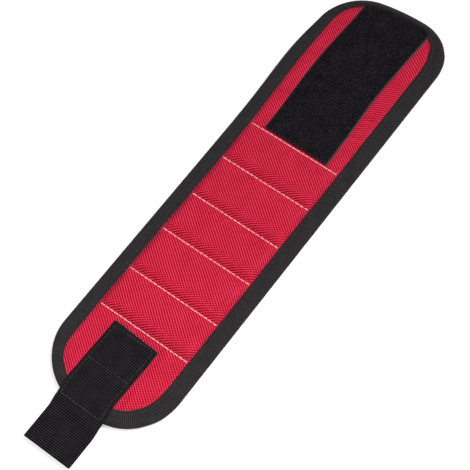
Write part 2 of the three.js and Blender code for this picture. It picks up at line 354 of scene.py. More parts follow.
@dataclass(frozen=True)
class Value:
    """A number that a material works out, which can be reckoned with like any other."""

    nodes: "Nodes"
    socket: NodeSocket

    def __add__(self, other: "Number") -> "Value":
        """The sum of two numbers."""
        return self.nodes.calc("ADD", self, other)

    def __sub__(self, other: "Number") -> "Value":
        """The difference of two numbers."""
        return self.nodes.calc("SUBTRACT", self, other)

    def __mul__(self, other: "Number") -> "Value":
        """The product of two numbers."""
        return self.nodes.calc("MULTIPLY", self, other)

    def __truediv__(self, other: "Number") -> "Value":
        """The quotient of two numbers."""
        return self.nodes.calc("DIVIDE", self, other)

    def __pow__(self, other: "Number") -> "Value":
        """A number to a power."""
        return self.nodes.calc("POWER", self, other)

    def __abs__(self) -> "Value":
        """The number without its sign."""
        return self.nodes.calc("ABSOLUTE", self)

    def clamped(self) -> "Value":
        """The number held between 0 and 1."""
        return self.nodes.calc("MINIMUM", self.nodes.calc("MAXIMUM", self, 0.0), 1.0)


Number = float | Value
Input = Number | Colour | NodeSocket
Look = tuple[Input, Value, Value]


@dataclass
class Nodes:
    """A node tree, with one short call for each kind of node."""

    tree: NodeTree

    def add(self, kind: str) -> Node:
        """A new node of a kind."""
        return self.tree.nodes.new("ShaderNode" + kind)

    def feed(self, socket: NodeSocket, value: Input) -> None:
        """Links a socket, or sets it where the value is a number or a colour.

        Args:
            socket: The input.
            value: What it gets.
        """
        source = value.socket if isinstance(value, Value) else value
        if isinstance(source, NodeSocket):
            self.tree.links.new(source, socket)
        elif isinstance(source, tuple):
            socket.default_value = (*source, 1.0)
        else:
            socket.default_value = source

    def calc(self, operation: str, *values: Input) -> Value:
        """A Math node.

        Args:
            operation: The node's operation.
            values: Its inputs in order.

        Returns:
            The result.
        """
        node = self.add("Math")
        node.operation = operation
        for socket, value in zip(node.inputs, values):
            self.feed(socket, value)
        return Value(self, node.outputs[0])


class Sketch(Nodes):
    """A material's node tree."""

    def __init__(self, name: str) -> None:
        """Starts a material with its shader."""
        self.material = bpy.data.materials.new(name)
        self.material.use_nodes = True
        super().__init__(self.material.node_tree)
        self.shader = self.tree.nodes["Principled BSDF"]

    @cached_property
    def cloth(self) -> tuple[Value, Value]:
        """The place along and across the cloth, in millimetres."""
        source = self.add("UVMap")
        source.uv_map = CLOTH_MAP
        split = self.add("SeparateXYZ")
        self.feed(split.inputs[0], source.outputs[0])
        along, across = (Value(self, split.outputs[axis]) * MAP_STEP for axis in range(2))
        return along, across

    def between(self, share: Number, low: Input, high: Input) -> NodeSocket:
        """A colour between two colours.

        Args:
            share: How far from low to high.
            low: The colour at 0.
            high: The colour at 1.

        Returns:
            The mixed colour.
        """
        node = self.add("Mix")
        node.data_type = "RGBA"
        node.clamp_factor = True
        self.feed(node.inputs[0], share)
        self.feed(node.inputs[6], low)
        self.feed(node.inputs[7], high)
        return node.outputs[2]

    def painted(self, name: str) -> Value:
        """A value written on the mesh."""
        source = self.add("Attribute")
        source.attribute_name = name
        return Value(self, source.outputs["Fac"])

    def noise(self, place: NodeSocket, scale: float, detail: float) -> Value:
        """Noise of 0 to 1.

        Args:
            place: Where it is read.
            scale: Cells to a unit.
            detail: Octaves.

        Returns:
            The noise value.
        """
        node = self.add("TexNoise")
        node.inputs["Scale"].default_value = scale
        node.inputs["Detail"].default_value = detail
        self.feed(node.inputs["Vector"], place)
        return Value(self, node.outputs["Fac"])

    def grain(self, along: float, across: float, detail: float) -> Value:
        """Noise on the cloth map, with cells to a millimetre along and across."""
        join = self.add("CombineXYZ")
        for socket, place, cells in zip(join.inputs, self.cloth, (along, across)):
            self.feed(socket, place * cells)
        return self.noise(join.outputs[0], 1.0, detail)

    def speckle(self, cells: float, detail: float) -> Value:
        """Noise in the piece's own coordinates, with cells to a metre."""
        return self.noise(self.add("TexCoord").outputs["Object"], cells, detail)

    def ripple(self, place: Value, pitch: float) -> Value:
        """A wave of -1 to 1 with a crest at every pitch."""
        return self.calc("COSINE", place * (2 * math.pi / pitch))

    def swell(self, place: Value, pitch: float) -> Value:
        """A wave of 0 to 1 with a crest at every pitch."""
        return self.ripple(place, pitch) * 0.5 + 0.5

    def emboss(self, height: Value, depth: float) -> None:
        """Raises the surface.

        Args:
            height: How high, from 0 to 1.
            depth: The rise at a height of 1, in millimetres.
        """
        node = self.add("Bump")
        node.inputs["Strength"].default_value = 1.0
        node.inputs["Distance"].default_value = depth * MM
        self.feed(node.inputs["Height"], height)
        self.feed(self.shader.inputs["Normal"], node.outputs[0])

    def set(self, **values: Input) -> None:
        """Sets shader inputs, each named with _ for a space."""
        for name, value in values.items():
            self.feed(self.shader.inputs[name.replace("_", " ")], value)


@dataclass(frozen=True, kw_only=True)
class Finish:
    """A finish: the name of its material, and the gloss and relief that every finish has."""

    name: str
    roughness: float
    dullness: float = 0.2
    gloss: float
    metallic: float = 0.0
    sheen: float = 0.0
    sheen_roughness: float = 0.5
    depth: float

    def draw(self, sketch: Sketch) -> Look:
        """Draws the finish's own pattern: its colour, its dullness and its height."""
        raise NotImplementedError

    def material(self) -> Material:
        """The finish as a material.

        Returns:
            The material.
        """
        sketch = Sketch(self.name)
        colour, dull, height = self.draw(sketch)
        sketch.set(
            Base_Color=colour,
            Roughness=dull * self.dullness + self.roughness,
            Specular_IOR_Level=self.gloss,
            Metallic=self.metallic,
            Sheen_Weight=self.sheen,
            Sheen_Roughness=self.sheen_roughness,
        )
        sketch.emboss(height, self.depth)
        return sketch.material


@dataclass(frozen=True, kw_only=True)
class NylonFinish(Finish):
    """Red woven nylon: thick yarns in a plain weave, seen as fine slanting lines of painted shade.

    Where the cloth leans, by the attribute of that name, the painted shade lines slant the other
    way.
    """

    name: str = Slot.NYLON.value
    roughness: float = 0.52
    dullness: float = -0.14
    gloss: float = 0.06
    depth: float = 0.2
    float_colour: Colour = (0.855, 0.011, 0.064)
    # The crest colour is a painted highlight on the yarn crests.
    lit_crest_colour: Colour = (0.88, 0.060, 0.138)
    # The gap colour is painted shade between the yarns.
    shaded_gap_colour: Colour = (0.27, 0.0, 0.001)
    along_yarn: float = 0.949
    across_yarn: float = 1.305
    drift_cells: float = 0.35
    unevenness: float = 0.09
    slant: float = 0.46
    counter: float = -0.08
    turned: float = -0.34
    mottle_cells: tuple[float, float] = (0.06, 0.10)
    mottle: float = 0.28
    highlight_power: float = 3.0

    def draw(self, sketch: Sketch) -> Look:
        """Draws the yarns, their slanting lines of painted shade and the painted highlights on
        their crests.

        Args:
            sketch: The material.

        Returns:
            The colour, the dullness and the height.
        """
        along, across = sketch.cloth
        drift = sketch.grain(self.drift_cells, self.drift_cells, detail=1.0)
        warp = along / self.along_yarn + drift * self.unevenness
        weft = across / self.across_yarn - drift * self.unevenness
        check = sketch.calc("SINE", warp * math.pi) * sketch.calc("SINE", weft * math.pi)
        cushion = abs(check)
        # The lean attribute turns the slant of the painted shade lines.
        turned = sketch.painted(LEAN_MAP) * self.turned
        steady = sketch.ripple(warp - weft, 2.0) * (turned + self.slant)
        counter = sketch.ripple(warp + weft, 2.0) * (turned + self.counter)
        mottle = sketch.grain(*self.mottle_cells, detail=3.0)
        shade = steady + counter + 0.5 + (mottle - 0.5) * self.mottle
        # The paler crests are a painted highlight on the yarns.
        lit_crest = shade.clamped() ** self.highlight_power
        # The yarns fade to painted shade in the gaps between them.
        yarn = sketch.between(shade, self.shaded_gap_colour, self.float_colour)
        colour = sketch.between(lit_crest, yarn, self.lit_crest_colour)
        return colour, cushion, check * 0.5 + cushion


@dataclass(frozen=True, kw_only=True)
class RibbedTapeFinish(Finish):
    """Black woven tape, ribbed across, with painted highlights on crests and painted shade in
    grooves.
    """

    roughness: float = 0.55
    sheen: float = 0.06
    sheen_roughness: float = 0.3
    depth: float = 0.09
    # The crest colour is a painted highlight on the ribs, the groove colour painted shade between
    # them.
    lit_crest_colour: Colour
    shaded_groove_colour: Colour
    rib_pitch: float
    crispness: float
    yarn: float = 0.62
    strand_share: float = 0.35
    fuzz_cells: float = 1.6
    fuzz: float = 0.7
    fuzz_height: float = 0.4
    worn_cells: tuple[float, float] = (0.09, 0.12)
    wear: float = 0.4

    def draw(self, sketch: Sketch) -> Look:
        """Draws the ribs as painted lit crests and shaded grooves, their staggered strands, fuzz
        and wear.

        Args:
            sketch: The material.

        Returns:
            The colour, the dullness and the height.
        """
        along, across = sketch.cloth
        lit_crest = sketch.swell(along, self.rib_pitch) ** self.crispness
        stagger = sketch.calc("FLOOR", along / self.rib_pitch) * (self.yarn / 2)
        strand = sketch.swell(stagger + across, self.yarn)
        fuzz = sketch.grain(self.fuzz_cells, self.fuzz_cells, detail=3.0)
        worn = sketch.grain(*self.worn_cells, detail=2.0)
        # Painted: light on the rib crests, shade in the grooves.
        shade = lit_crest * (strand * self.strand_share + (1 - self.strand_share))
        shade = shade + (fuzz - 0.5) * self.fuzz + (worn - 0.5) * self.wear
        colour = sketch.between(shade, self.shaded_groove_colour, self.lit_crest_colour)
        return colour, fuzz, fuzz * self.fuzz_height + strand


@dataclass(frozen=True, kw_only=True)
class PileFinish(Finish):
    """Black brushed loop pile, dull, with painted shade in the hollows between its tufts."""

    name: str = Slot.PILE.value
    roughness: float = 0.82
    dullness: float = 0.15
    gloss: float = 0.06
    sheen: float = 0.015
    sheen_roughness: float = 0.6
    depth: float = 0.25
    tip_colour: Colour = (0.0235, 0.0200, 0.0270)
    # The root colour is painted shade in the hollows between the tufts.
    shaded_root_colour: Colour = (0.0012, 0.0009, 0.0016)
    selvage_colour: Colour = (0.055, 0.050, 0.054)
    selvage_from: float = 24.3
    selvage_fade: float = 1 / 3
    tuft_cells: float = 1150.0
    tuft: float = 4.6
    brush_cells: float = 120.0
    brush: float = 0.9
    level: float = -2.35

    def draw(self, sketch: Sketch) -> Look:
        """Draws the tufts, and the selvages beside them.

        Args:
            sketch: The material.

        Returns:
            The colour, the dullness and the height.
        """
        tuft = sketch.speckle(self.tuft_cells, detail=2.0)
        brushed = sketch.speckle(self.brush_cells, detail=2.0)
        shade = tuft * self.tuft + brushed * self.brush + self.level
        # The tufts fade to the painted shade of the roots.
        pile = sketch.between(shade, self.shaded_root_colour, self.tip_colour)
        selvage = (abs(sketch.cloth[1]) - self.selvage_from) / self.selvage_fade
        return sketch.between(selvage, pile, self.selvage_colour), tuft, tuft


@dataclass(frozen=True, kw_only=True)
class LiningFinish(Finish):
    """Black spacer mesh: a knitted face with painted shade in its holes."""

    name: str = Slot.LINING.value
    roughness: float = 0.68
    gloss: float = 0.2
    sheen: float = 0.08
    depth: float = 0.08
    knit_colour: Colour = (0.020, 0.020, 0.022)
    # The hole colour is painted shade in the holes of the knit.
    shaded_hole_colour: Colour = (0.004, 0.004, 0.005)
    knit_pitch: float = 0.55
    knit: float = 0.6
    knit_slant: float = 0.5
    fuzz_cells: float = 1.0
    fuzz: float = 0.5

    def draw(self, sketch: Sketch) -> Look:
        """Draws the knit and its fuzz.

        Args:
            sketch: The material.

        Returns:
            The colour, the dullness and the height.
        """
        along, across = sketch.cloth
        wale = sketch.ripple(across * self.knit_slant + along, self.knit_pitch)
        course = sketch.ripple(along * -self.knit_slant + across, self.knit_pitch)
        knit = wale * course * 0.5 + 0.5
        fuzz = sketch.grain(self.fuzz_cells, self.fuzz_cells, detail=3.0)
        shade = knit * self.knit + fuzz * self.fuzz
        # The knit fades to painted shade in its holes.
        return sketch.between(shade, self.shaded_hole_colour, self.knit_colour), fuzz, knit


@dataclass(frozen=True, kw_only=True)
class ThreadFinish(Finish):
    """Twisted sewing thread, with painted shade in the grooves between its plies."""

    roughness: float = 0.4
    sheen: float = 0.05
    sheen_roughness: float = 0.4
    depth: float = 0.03
    ply_colour: Colour
    # The groove colour is painted shade between the plies.
    shaded_groove_colour: Colour
    twists: float = 5.0
    ply: float = 0.75
    fuzz_cells: float = 2600.0
    fuzz: float = 0.4

    def draw(self, sketch: Sketch) -> Look:
        """Draws the twisted plies, with painted shade between them, and their fuzz.

        Args:
            sketch: The material.

        Returns:
            The colour, the dullness and the height.
        """
        along, around = sketch.cloth
        ply = sketch.swell(along * self.twists + around, 1.0)
        fuzz = sketch.speckle(self.fuzz_cells, detail=2.0)
        shade = ply * self.ply + fuzz * self.fuzz
        # The plies fade to painted shade in the grooves.
        return sketch.between(shade, self.shaded_groove_colour, self.ply_colour), fuzz, ply


@dataclass(frozen=True, kw_only=True)
class GrainFinish(Finish):
    """A hard, finely grained surface, moulded or pressed."""

    high_colour: Colour
    low_colour: Colour
    cells: float
    octaves: float

    def draw(self, sketch: Sketch) -> Look:
        """Draws the grain: its colour, its dullness and its height."""
        grain = sketch.speckle(self.cells, self.octaves)
        return sketch.between(grain, self.low_colour, self.high_colour), grain, grain


class Wardrobe:
    """Every finish, made once."""

    def __init__(self) -> None:
        """Makes the materials."""
        self.nylon = NylonFinish().material()
        self.lining = LiningFinish().material()
        # Each tape's crest colour is a painted highlight and its groove colour painted shade.
        self.binding = RibbedTapeFinish(
            name=Slot.BINDING.value,
            lit_crest_colour=(0.055, 0.051, 0.054),
            shaded_groove_colour=(0.004, 0.003, 0.004),
            rib_pitch=Binding.rib_pitch,
            crispness=1.0,
            gloss=0.07,
        ).material()
        self.webbing = RibbedTapeFinish(
            name=Slot.WEBBING.value,
            lit_crest_colour=(0.044, 0.040, 0.045),
            shaded_groove_colour=(0.0005, 0.0004, 0.0005),
            rib_pitch=Strap.rib_pitch,
            crispness=2.2,
            gloss=0.03,
        ).material()
        self.pile = PileFinish().material()
        self.hooks = GrainFinish(
            name=Slot.HOOKS.value,
            high_colour=(0.014, 0.014, 0.015),
            low_colour=(0.007, 0.007, 0.008),
            cells=1500.0,
            octaves=3.0,
            roughness=0.36,
            gloss=0.4,
            depth=0.03,
        ).material()
        self.ferrite = GrainFinish(
            name=Slot.MAGNET.value,
            high_colour=(0.085, 0.085, 0.09),
            low_colour=(0.04, 0.04, 0.043),
            cells=900.0,
            octaves=5.0,
            roughness=0.42,
            dullness=0.25,
            gloss=0.5,
            metallic=0.35,
            depth=0.05,
        ).material()
        # Each thread's groove colour is painted shade between its plies.
        self.cream = ThreadFinish(
            name="cream_thread",
            ply_colour=(1.0, 0.66, 0.61),
            shaded_groove_colour=(1.0, 0.52, 0.47),
            gloss=0.6,
        ).material()
        self.black = ThreadFinish(
            name="black_thread",
            ply_colour=(0.024, 0.022, 0.024),
            shaded_groove_colour=(0.006, 0.005, 0.006),
            gloss=0.3,
        ).material()

    @staticmethod
    def dress(piece: Object, material: Material, slot: Slot) -> None:
        """Gives a piece its material.

        Args:
            piece: The piece.
            material: Its material.
            slot: Not used.
        """
        piece.data.materials.clear()
        piece.data.materials.append(material)


@dataclass(frozen=True)
class Straight:
    """A straight run of the band's edge."""

    start: Vector
    end: Vector
    inward: Vector

    @property
    def length(self) -> float:
        """How long it is."""
        return (self.end - self.start).length

    def at(self, run: float) -> tuple[Vector, Vector, float]:
        """The point after a run, the way inwards and the curvature there."""
        return self.start.lerp(self.end, run / self.length), self.inward, 0.0


@dataclass(frozen=True)
class Bow:
    """A curved run of the band's edge, with its angles mirrored where heading is -1."""

    centre: Vector
    radius: float
    begin: float
    finish: float
    heading: int

    @property
    def length(self) -> float:
        """How long it is."""
        return abs(self.finish - self.begin) * self.radius

    def at(self, run: float) -> tuple[Vector, Vector, float]:
        """The point after a run, the way inwards and the curvature there.

        Args:
            run: How far along the run.

        Returns:
            The point, the unit vector inwards and the curvature.
        """
        angle = self.begin + (self.finish - self.begin) * run / self.length
        outward = Vector((self.heading * math.cos(angle), math.sin(angle)))
        return self.centre + outward * self.radius, -outward, 1 / self.radius


@dataclass(frozen=True)
class EdgePath:
    """A length of the band's edge, run after run."""

    runs: tuple[Straight | Bow, ...]

    @property
    def length(self) -> float:
        """How long it is."""
        return sum(run.length for run in self.runs)

    def at(self, distance: float) -> tuple[Vector, Vector, float]:
        """The point at a distance, the way inwards and the curvature there.

        Args:
            distance: How far along the edge.

        Returns:
            The point, the unit vector inwards and the curvature.
        """
        left = distance
        for run in self.runs[:-1]:
            if left <= run.length:
                return run.at(left)
            left -= run.length
        return self.runs[-1].at(min(left, self.runs[-1].length))


@dataclass(frozen=True)
class RoundedEnd:
    """A rounded end of the band: two corner arcs that run into a shallow tip arc."""

    tip_x: float
    heading: int
    corner: float
    tip: float
    half_width: float
    facets: int = 14

    @cached_property
    def side(self) -> float:
        """How far from the middle line the corner arcs are centred."""
        return self.half_width - self.corner

    @cached_property
    def reach(self) -> float:
        """How far along the band the corner arcs lie from the tip arc's centre."""
        return math.sqrt((self.tip - self.corner) ** 2 - self.side**2)

    @cached_property
    def turn(self) -> float:
        """The angle where a corner arc meets the tip arc."""
        return math.atan2(self.side, self.reach)

    @cached_property
    def shoulder(self) -> float:
        """Where along X the straight edges end."""
        return self.tip_x + self.heading * (self.reach - self.tip)

    def runs(self) -> tuple[Bow, Bow, Bow]:
        """The curved runs of the end.

        Returns:
            The left corner, the tip and the right corner.
        """
        quarter = math.pi / 2
        left, right = (Vector((self.shoulder, side)) for side in (self.side, -self.side))
        centre = Vector((self.tip_x - self.heading * self.tip, 0))
        return (
            Bow(left, self.corner, quarter, self.turn, self.heading),
            Bow(centre, self.tip, self.turn, -self.turn, self.heading),
            Bow(right, self.corner, -self.turn, -quarter, self.heading),
        )

    def path(self, cut: float) -> EdgePath:
        """The edge from a cut on the left, round the end, to the same cut on the right.

        Args:
            cut: Where the cut lies along X.

        Returns:
            The edge.
        """
        half, inward = self.half_width, Vector((0, -1))
        left = Straight(Vector((cut, half)), Vector((self.shoulder, half)), inward)
        right = Straight(Vector((self.shoulder, -half)), Vector((cut, -half)), -inward)
        return EdgePath((left, *self.runs(), right))

    def trim(self, bm: BMesh, inset: float) -> None:
        """Cuts a sheet to the end's line.

        Args:
            bm: The sheet, in millimetres.
            inset: How far inside the edge the line lies.
        """
        for run in self.runs():
            for step in range(self.facets + 1):
                point, inward, _ = run.at(run.length * step / self.facets)
                cut_off(bm, point + inward * inset, -inward)

    def far(self, y: float, inset: float) -> float:
        """Where along X the end's line lies at a place across the band.

        Args:
            y: Place across the band.
            inset: How far inside the edge the line lies.

        Returns:
            The place along X.
        """
        across = abs(y)
        tip = self.tip - inset
        if across <= tip * math.sin(self.turn):
            return self.tip_x + self.heading * (math.sqrt(tip**2 - across**2) - self.tip)
        corner = math.sqrt((self.corner - inset) ** 2 - (across - self.side) ** 2)
        return self.shoulder + self.heading * corner

    def depth(self, x: float, y: float) -> float:
        """How far inside the band's edge a point at this end lies.

        Args:
            x: Its place along the band.
            y: Its place across the band.

        Returns:
            The depth, less than 0 outside.
        """
        if self.heading * (x - self.shoulder) <= 0:
            return self.half_width - abs(y)
        from_corner = Vector((x - self.shoulder, max(0.0, abs(y) - self.side)))
        from_tip = Vector((x - self.tip_x + self.heading * self.tip, y))
        in_corner = math.atan2(from_corner.y, abs(from_corner.x)) > self.turn
        if abs(y) > self.side and in_corner:
            return self.corner - from_corner.length
        return self.tip - from_tip.length


@dataclass(frozen=True)
class Span:
    """A length of cloth over one fold line, cut midway between the fold lines beside it."""

    number: int
    near: str
    far: str
    start: float
    end: float
    fold: float
    sections: tuple[str, ...]
    reach: float

    def stand_for(self, kind: str) -> list[str]:
        """The CAD nodes of a kind in the sections that the span stands for."""
        starts = [f"{section}_{kind}" for section in self.sections]
        return [node for start in starts for node in frame["nodes"] if node.startswith(start)]

    def bend(self, piece: Object) -> None:
        """Bakes a finished piece's transform into its mesh."""
        start, end = ((self.fold + away) * MM for away in (-self.reach, self.reach))
        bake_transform(piece)


@dataclass(frozen=True)
class BandPlan:
    """The band's plan and the heights of its layers, taken from the frame where it has them."""

    sheet_inset: float = 2.15
    lining_low: float = 1.1
    lining_high: float = 2.0
    panel_high: float = 3.2
    binding_high: float = 4.3
    seam_reach: float = 6.0
    bend_reach: float = 8.0
    strap_corner: float = 39.0
    strap_tip: float = 120.0
    loop_corner: float = 33.0
    loop_tip: float = 150.0
    area_steps: int = 200
    area_grain: float = 0.25
    laying: Laying = Laying()

    @cached_property
    def half_width(self) -> float:
        """Half the band's width."""
        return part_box("pocket_3_binding_left")[1].y / MM

    @cached_property
    def tape_cover(self) -> float:
        """How far the binding reaches in from the band's edge."""
        low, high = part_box("pocket_3_binding_left")
        return (high.y - low.y) / MM

    @cached_property
    def strap_end(self) -> RoundedEnd:
        """The rounded end that carries the strap."""
        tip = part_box("strap_end_binding")[0].x / MM
        return RoundedEnd(tip, -1, self.strap_corner, self.strap_tip, self.half_width)

    @cached_property
    def loop_end(self) -> RoundedEnd:
        """The rounded end that carries the loop patch."""
        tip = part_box("loop_end_3_binding")[1].x / MM
        return RoundedEnd(tip, 1, self.loop_corner, self.loop_tip, self.half_width)

    @cached_property
    def folds(self) -> dict[str, float]:
        """Where every fold line lies along X, by the joint's name."""
        return {joint["name"]: (Vector(joint["pos_m"]) / MM).x for joint in frame["joints"]}

    @cached_property
    def seams(self) -> list[float]:
        """Where the six seams lie along X."""
        return sorted(place for name, place in self.folds.items() if name.startswith("seam"))

    @cached_property
    def sections(self) -> list[str]:
        """The sections of the band, from the strap end to the loop end."""
        pockets = [f"pocket_{number}" for number in range(1, len(self.seams))]
        return ["strap_end", *pockets, "loop_end_1", "loop_end_2", "loop_end_3"]

    @cached_property
    def spans(self) -> list[Span]:
        """The lengths of cloth over the fold lines, from the strap end to the loop end."""
        names = sorted(set(self.folds) - {"strap_fold"}, key=self.folds.get)
        places = [self.folds[name] for name in names]
        cuts = [(a + b) / 2 for a, b in zip(places, places[1:])]
        marks = [self.strap_end.tip_x, *cuts, self.loop_end.tip_x]
        sections = self.sections
        spans = []
        for index, name in enumerate(names):
            stop = index + (2 if name == names[-1] else 1)
            spans.append(
                Span(
                    number=index + 1,
                    near=sections[index],
                    far=sections[index + 1],
                    start=marks[index],
                    end=marks[index + 1],
                    fold=places[index],
                    sections=tuple(sections[index:stop]),
                    reach=self.seam_reach if name.startswith("seam") else self.bend_reach,
                )
            )
        return spans

    def depth(self, x: float, y: float) -> float:
        """How far inside the band's edge a point lies."""
        end = self.strap_end if x < 0 else self.loop_end
        return end.depth(x, y)

    def seam_distance(self, x: float) -> float:
        """How far a place along the band is from the nearest seam."""
        return min(abs(x - seam) for seam in self.seams)

    def in_pockets(self, x: float) -> bool:
        """Whether a place along the band is in one of the pockets."""
        return self.seams[0] < x < self.seams[-1]

    def stations(self, cell: float, inset: float) -> list[float]:
        """Places along the band about a cell apart, with one on every fold line and every cut.

        Args:
            cell: How far apart they are.
            inset: How far inside the ends they stop.

        Returns:
            The places along X.
        """
        inner = [place for span in self.spans for place in (span.start, span.fold)][1:]
        marks = [self.strap_end.tip_x + inset, *inner, self.loop_end.tip_x - inset]
        places = [marks[0]]
        for low, high in zip(marks, marks[1:]):
            count = max(1, round((high - low) / cell))
            places += [low + (high - low) * (step + 1) / count for step in range(count)]
        return places

    def sheet(self, cell: float) -> BMesh:
        """A flat grid cut to the line where the cloth ends in the binding, with its cloth map.

        Args:
            cell: Size of the grid's cells.

        Returns:
            The grid at height 0.
        """
        inset = self.sheet_inset
        stations = self.stations(cell, inset)
        rows = len(stations) - 1
        side = self.half_width - inset
        bm = bmesh.new()
        bmesh.ops.create_grid(bm, x_segments=rows, y_segments=round(2 * side / cell), size=0.5)
        bmesh.ops.scale(bm, vec=Vector((1, 2 * side, 1)), verts=bm.verts[:])
        for vert in bm.verts:
            vert.co.x = stations[round((vert.co.x + 0.5) * rows)]
        lay_map(bm, lambda vert: vert.co.xy)
        self.strap_end.trim(bm, inset)
        self.loop_end.trim(bm, inset)
        return bm

    def cloth_area(self, span: Span) -> float:
        """The plan area of a span's cloth.

        Args:
            span: The span.

        Returns:
            The area in square metres.
        """
        inset = self.sheet_inset
        step = (span.end - span.start) / self.area_steps
        total = 0.0
        for index in range(self.area_steps):
            x = span.start + (index + 0.5) * step
            across = self.half_width - inset
            while across > 0 and self.depth(x, across) < inset:
                across -= self.area_grain
            total += 2 * max(0.0, across) * step
        return total * MM * MM


@dataclass
class Part:
    """A sub-assembly, with the plan that it follows and the finishes that it takes."""

    plan: BandPlan
    wardrobe: Wardrobe

    def piece(
        self, bm: BMesh, name: str, material: Material, slot: Slot, span: Span | None = None
    ) -> Object:
        """Hands a mesh over as a smooth, dressed piece of the scene.

        Args:
            bm: The mesh in millimetres, which is freed.
            name: The piece's name.
            material: Its material.
            slot: The record's slot for it; not used.
            span: The span that it belongs to, where it lies as the band does.

        Returns:
            The piece, at the origin, with its mesh in metres.
        """
        if span:
            self.plan.laying.lay(bm)
        bmesh.ops.scale(bm, vec=Vector((MM, MM, MM)), verts=bm.verts[:])
        mesh = to_mesh(bm, name)
        if mesh.uv_layers:
            mesh.uv_layers[0].name = CLOTH_MAP
        mesh.shade_smooth()
        mesh.set_sharp_from_angle(angle=SMOOTH_UP_TO)
        log.info("made %s with %d faces", name, len(mesh.polygons))
        piece = show(name, mesh)
        self.wardrobe.dress(piece, material, slot)
        if span:
            span.bend(piece)
        return piece


@dataclass
class Cover(Part):
    """The red front: one cloth, sewn across and bound all round, and puffed over the magnets.

    The cloth is blown up by a cloth simulation from a form a little below the pockets, and is
    held where it is sewn.
    """

    cell: float = 1.7
    thickness: float = 0.8
    puff_rise: float = 5.5
    puff_height: float = 2.8
    seam_flat: float = 0.5
    sewn_share: float = 0.6
    sewn_margin: float = 1.0
    strap_half: float = 19.0
    patch_half: float = 24.5
    frames: int = 20
    draft_scale: float = 0.1
    pressure: float = 5.0
    slack: float = -0.018
    swell: float = 0.75
    shift: float = 0.5
    strip_from: float = 4.0
    strip_rise: float = 2.0
    crown: float = 0.7
    crease: float = 0.3
    crease_slant: float = 10 / 11
    dents: tuple[tuple[float, int, float], ...] = (
        (92.0, 1, 1.1),
        (127.0, 1, 0.6),
        (160.0, 1, 0.6),
        (91.0, -1, 0.8),
        (107.0, -1, 0.7),
    )
    dent_width: float = 1.8
    dent_slant: float = 0.3
    dent_middle: float = 31.0
    puckers: Marks = ((0.0, 0.0), (1.6, 0.16), (2.5, 0.16), (8.5, 0.0))
    pucker_rows: float = 3.1
    pucker_slant: float = 1 / 7
    lean_reach: float = 5.0
    lean_skew: float = 0.07
    lean_wander: float = 1.5
    lean_fade: float = 4.5
    strap_lean: float = 0.15
    left_lean: float = 0.05
    right_lean: Marks = ((80.0, 0.0), (92.0, 0.75), (135.0, 0.75), (150.0, 0.0))

    @cached_property
    def strap_sewn(self) -> float:
        """Where the strap's sewn end lies along X."""
        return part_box("strap_anchor")[1].x / MM + self.sewn_margin

    @cached_property
    def patch_start(self) -> float:
        """Where the loop patch starts along X."""
        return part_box("loop_end_1_loop")[0].x / MM + self.sewn_margin

    def form(self, x: float, y: float) -> float:
        """Height of the front's outer face before it is blown up.

        Args:
            x: Place along the band.
            y: Place across it.

        Returns:
            The height.
        """
        if not self.plan.in_pockets(x):
            return self.plan.panel_high
        run = self.plan.seam_distance(x) - self.seam_flat
        side = self.plan.half_width - self.plan.tape_cover - abs(y)
        share = clamp(min(run, side) / self.puff_rise)
        return self.plan.panel_high + self.puff_height * math.sin(share * math.pi / 2)

    def is_sewn(self, x: float, y: float) -> bool:
        """Whether the cloth is held down at a place.

        Args:
            x: Place along the band.
            y: Place across it.

        Returns:
            Whether it is under the binding, at a seam, or under the strap or the patch.
        """
        return (
            self.plan.depth(x, y) < self.plan.tape_cover
            or self.plan.seam_distance(x) < self.cell * self.sewn_share
            or (x < self.strap_sewn and abs(y) < self.strap_half)
            or (x > self.patch_start and abs(y) < self.patch_half)
        )

    def simulate(self, cloth: Object, sewn: bpy.types.VertexGroup) -> None:
        """Blows a cloth up by a simulation, up to its last frame.

        Args:
            cloth: The cloth.
            sewn: The vertices that are held.
        """
        modifier = cloth.modifiers.new("blow_up", "CLOTH")
        settings = modifier.settings
        settings.quality = 6
        settings.mass = 0.3
        settings.tension_stiffness = 20
        settings.compression_stiffness = 12
        settings.shear_stiffness = 6
        settings.bending_stiffness = 1.2
        settings.use_pressure = True
        settings.uniform_pressure_force = self.pressure
        settings.shrink_min = self.slack
        settings.effector_weights.gravity = 0
        settings.vertex_group_mass = sewn.name
        modifier.collision_settings.use_collision = False
        modifier.point_cache.frame_start = 1
        modifier.point_cache.frame_end = self.frames
        for step in range(1, self.frames + 1):
            bpy.context.scene.frame_set(step)

    def blow_up(self, mesh: Mesh) -> None:
        """Blows a cloth up, on a copy in a handy scale, with its movement capped.

        Args:
            mesh: The formed cloth, in millimetres.
        """
        draft = mesh.copy()
        draft.transform(Matrix.Scale(self.draft_scale, 4))
        cloth = show("cover_draft", draft)
        sewn = cloth.vertex_groups.new(name="sewn")
        held = [vert.index for vert in mesh.vertices if self.is_sewn(vert.co.x, vert.co.y)]
        sewn.add(held, 1.0, "REPLACE")
        self.simulate(cloth, sewn)
        blown = cloth.evaluated_get(bpy.context.evaluated_depsgraph_get())
        moved = [vert.co / self.draft_scale for vert in blown.data.vertices]
        bpy.context.scene.frame_set(1)
        bpy.data.objects.remove(cloth)
        bpy.data.meshes.remove(draft)
        for vert, place in zip(mesh.vertices, moved):
            step = place - vert.co
            step.x = max(-self.shift, min(self.shift, step.x))
            step.y = max(-self.shift, min(self.shift, step.y))
            step.z = max(0.0, min(self.swell, step.z))
            vert.co += step
        log.info("blew up the cover")

    def strip(self, x: float, y: float) -> float:
        """How far the cloth beside the loop patch rises, less its creases.

        Args:
            x: Place along the band.
            y: Place across it.

        Returns:
            The rise.
        """
        rise = self.crown + self.crease * wander(x + self.crease_slant * y, y, Drift.CREASES)
        for place, side, depth in self.dents:
            if side * y > 0:
                slant = self.dent_slant * (y - self.dent_middle * side)
                rise -= depth * bell(x - place + slant, self.dent_width)
        return rise

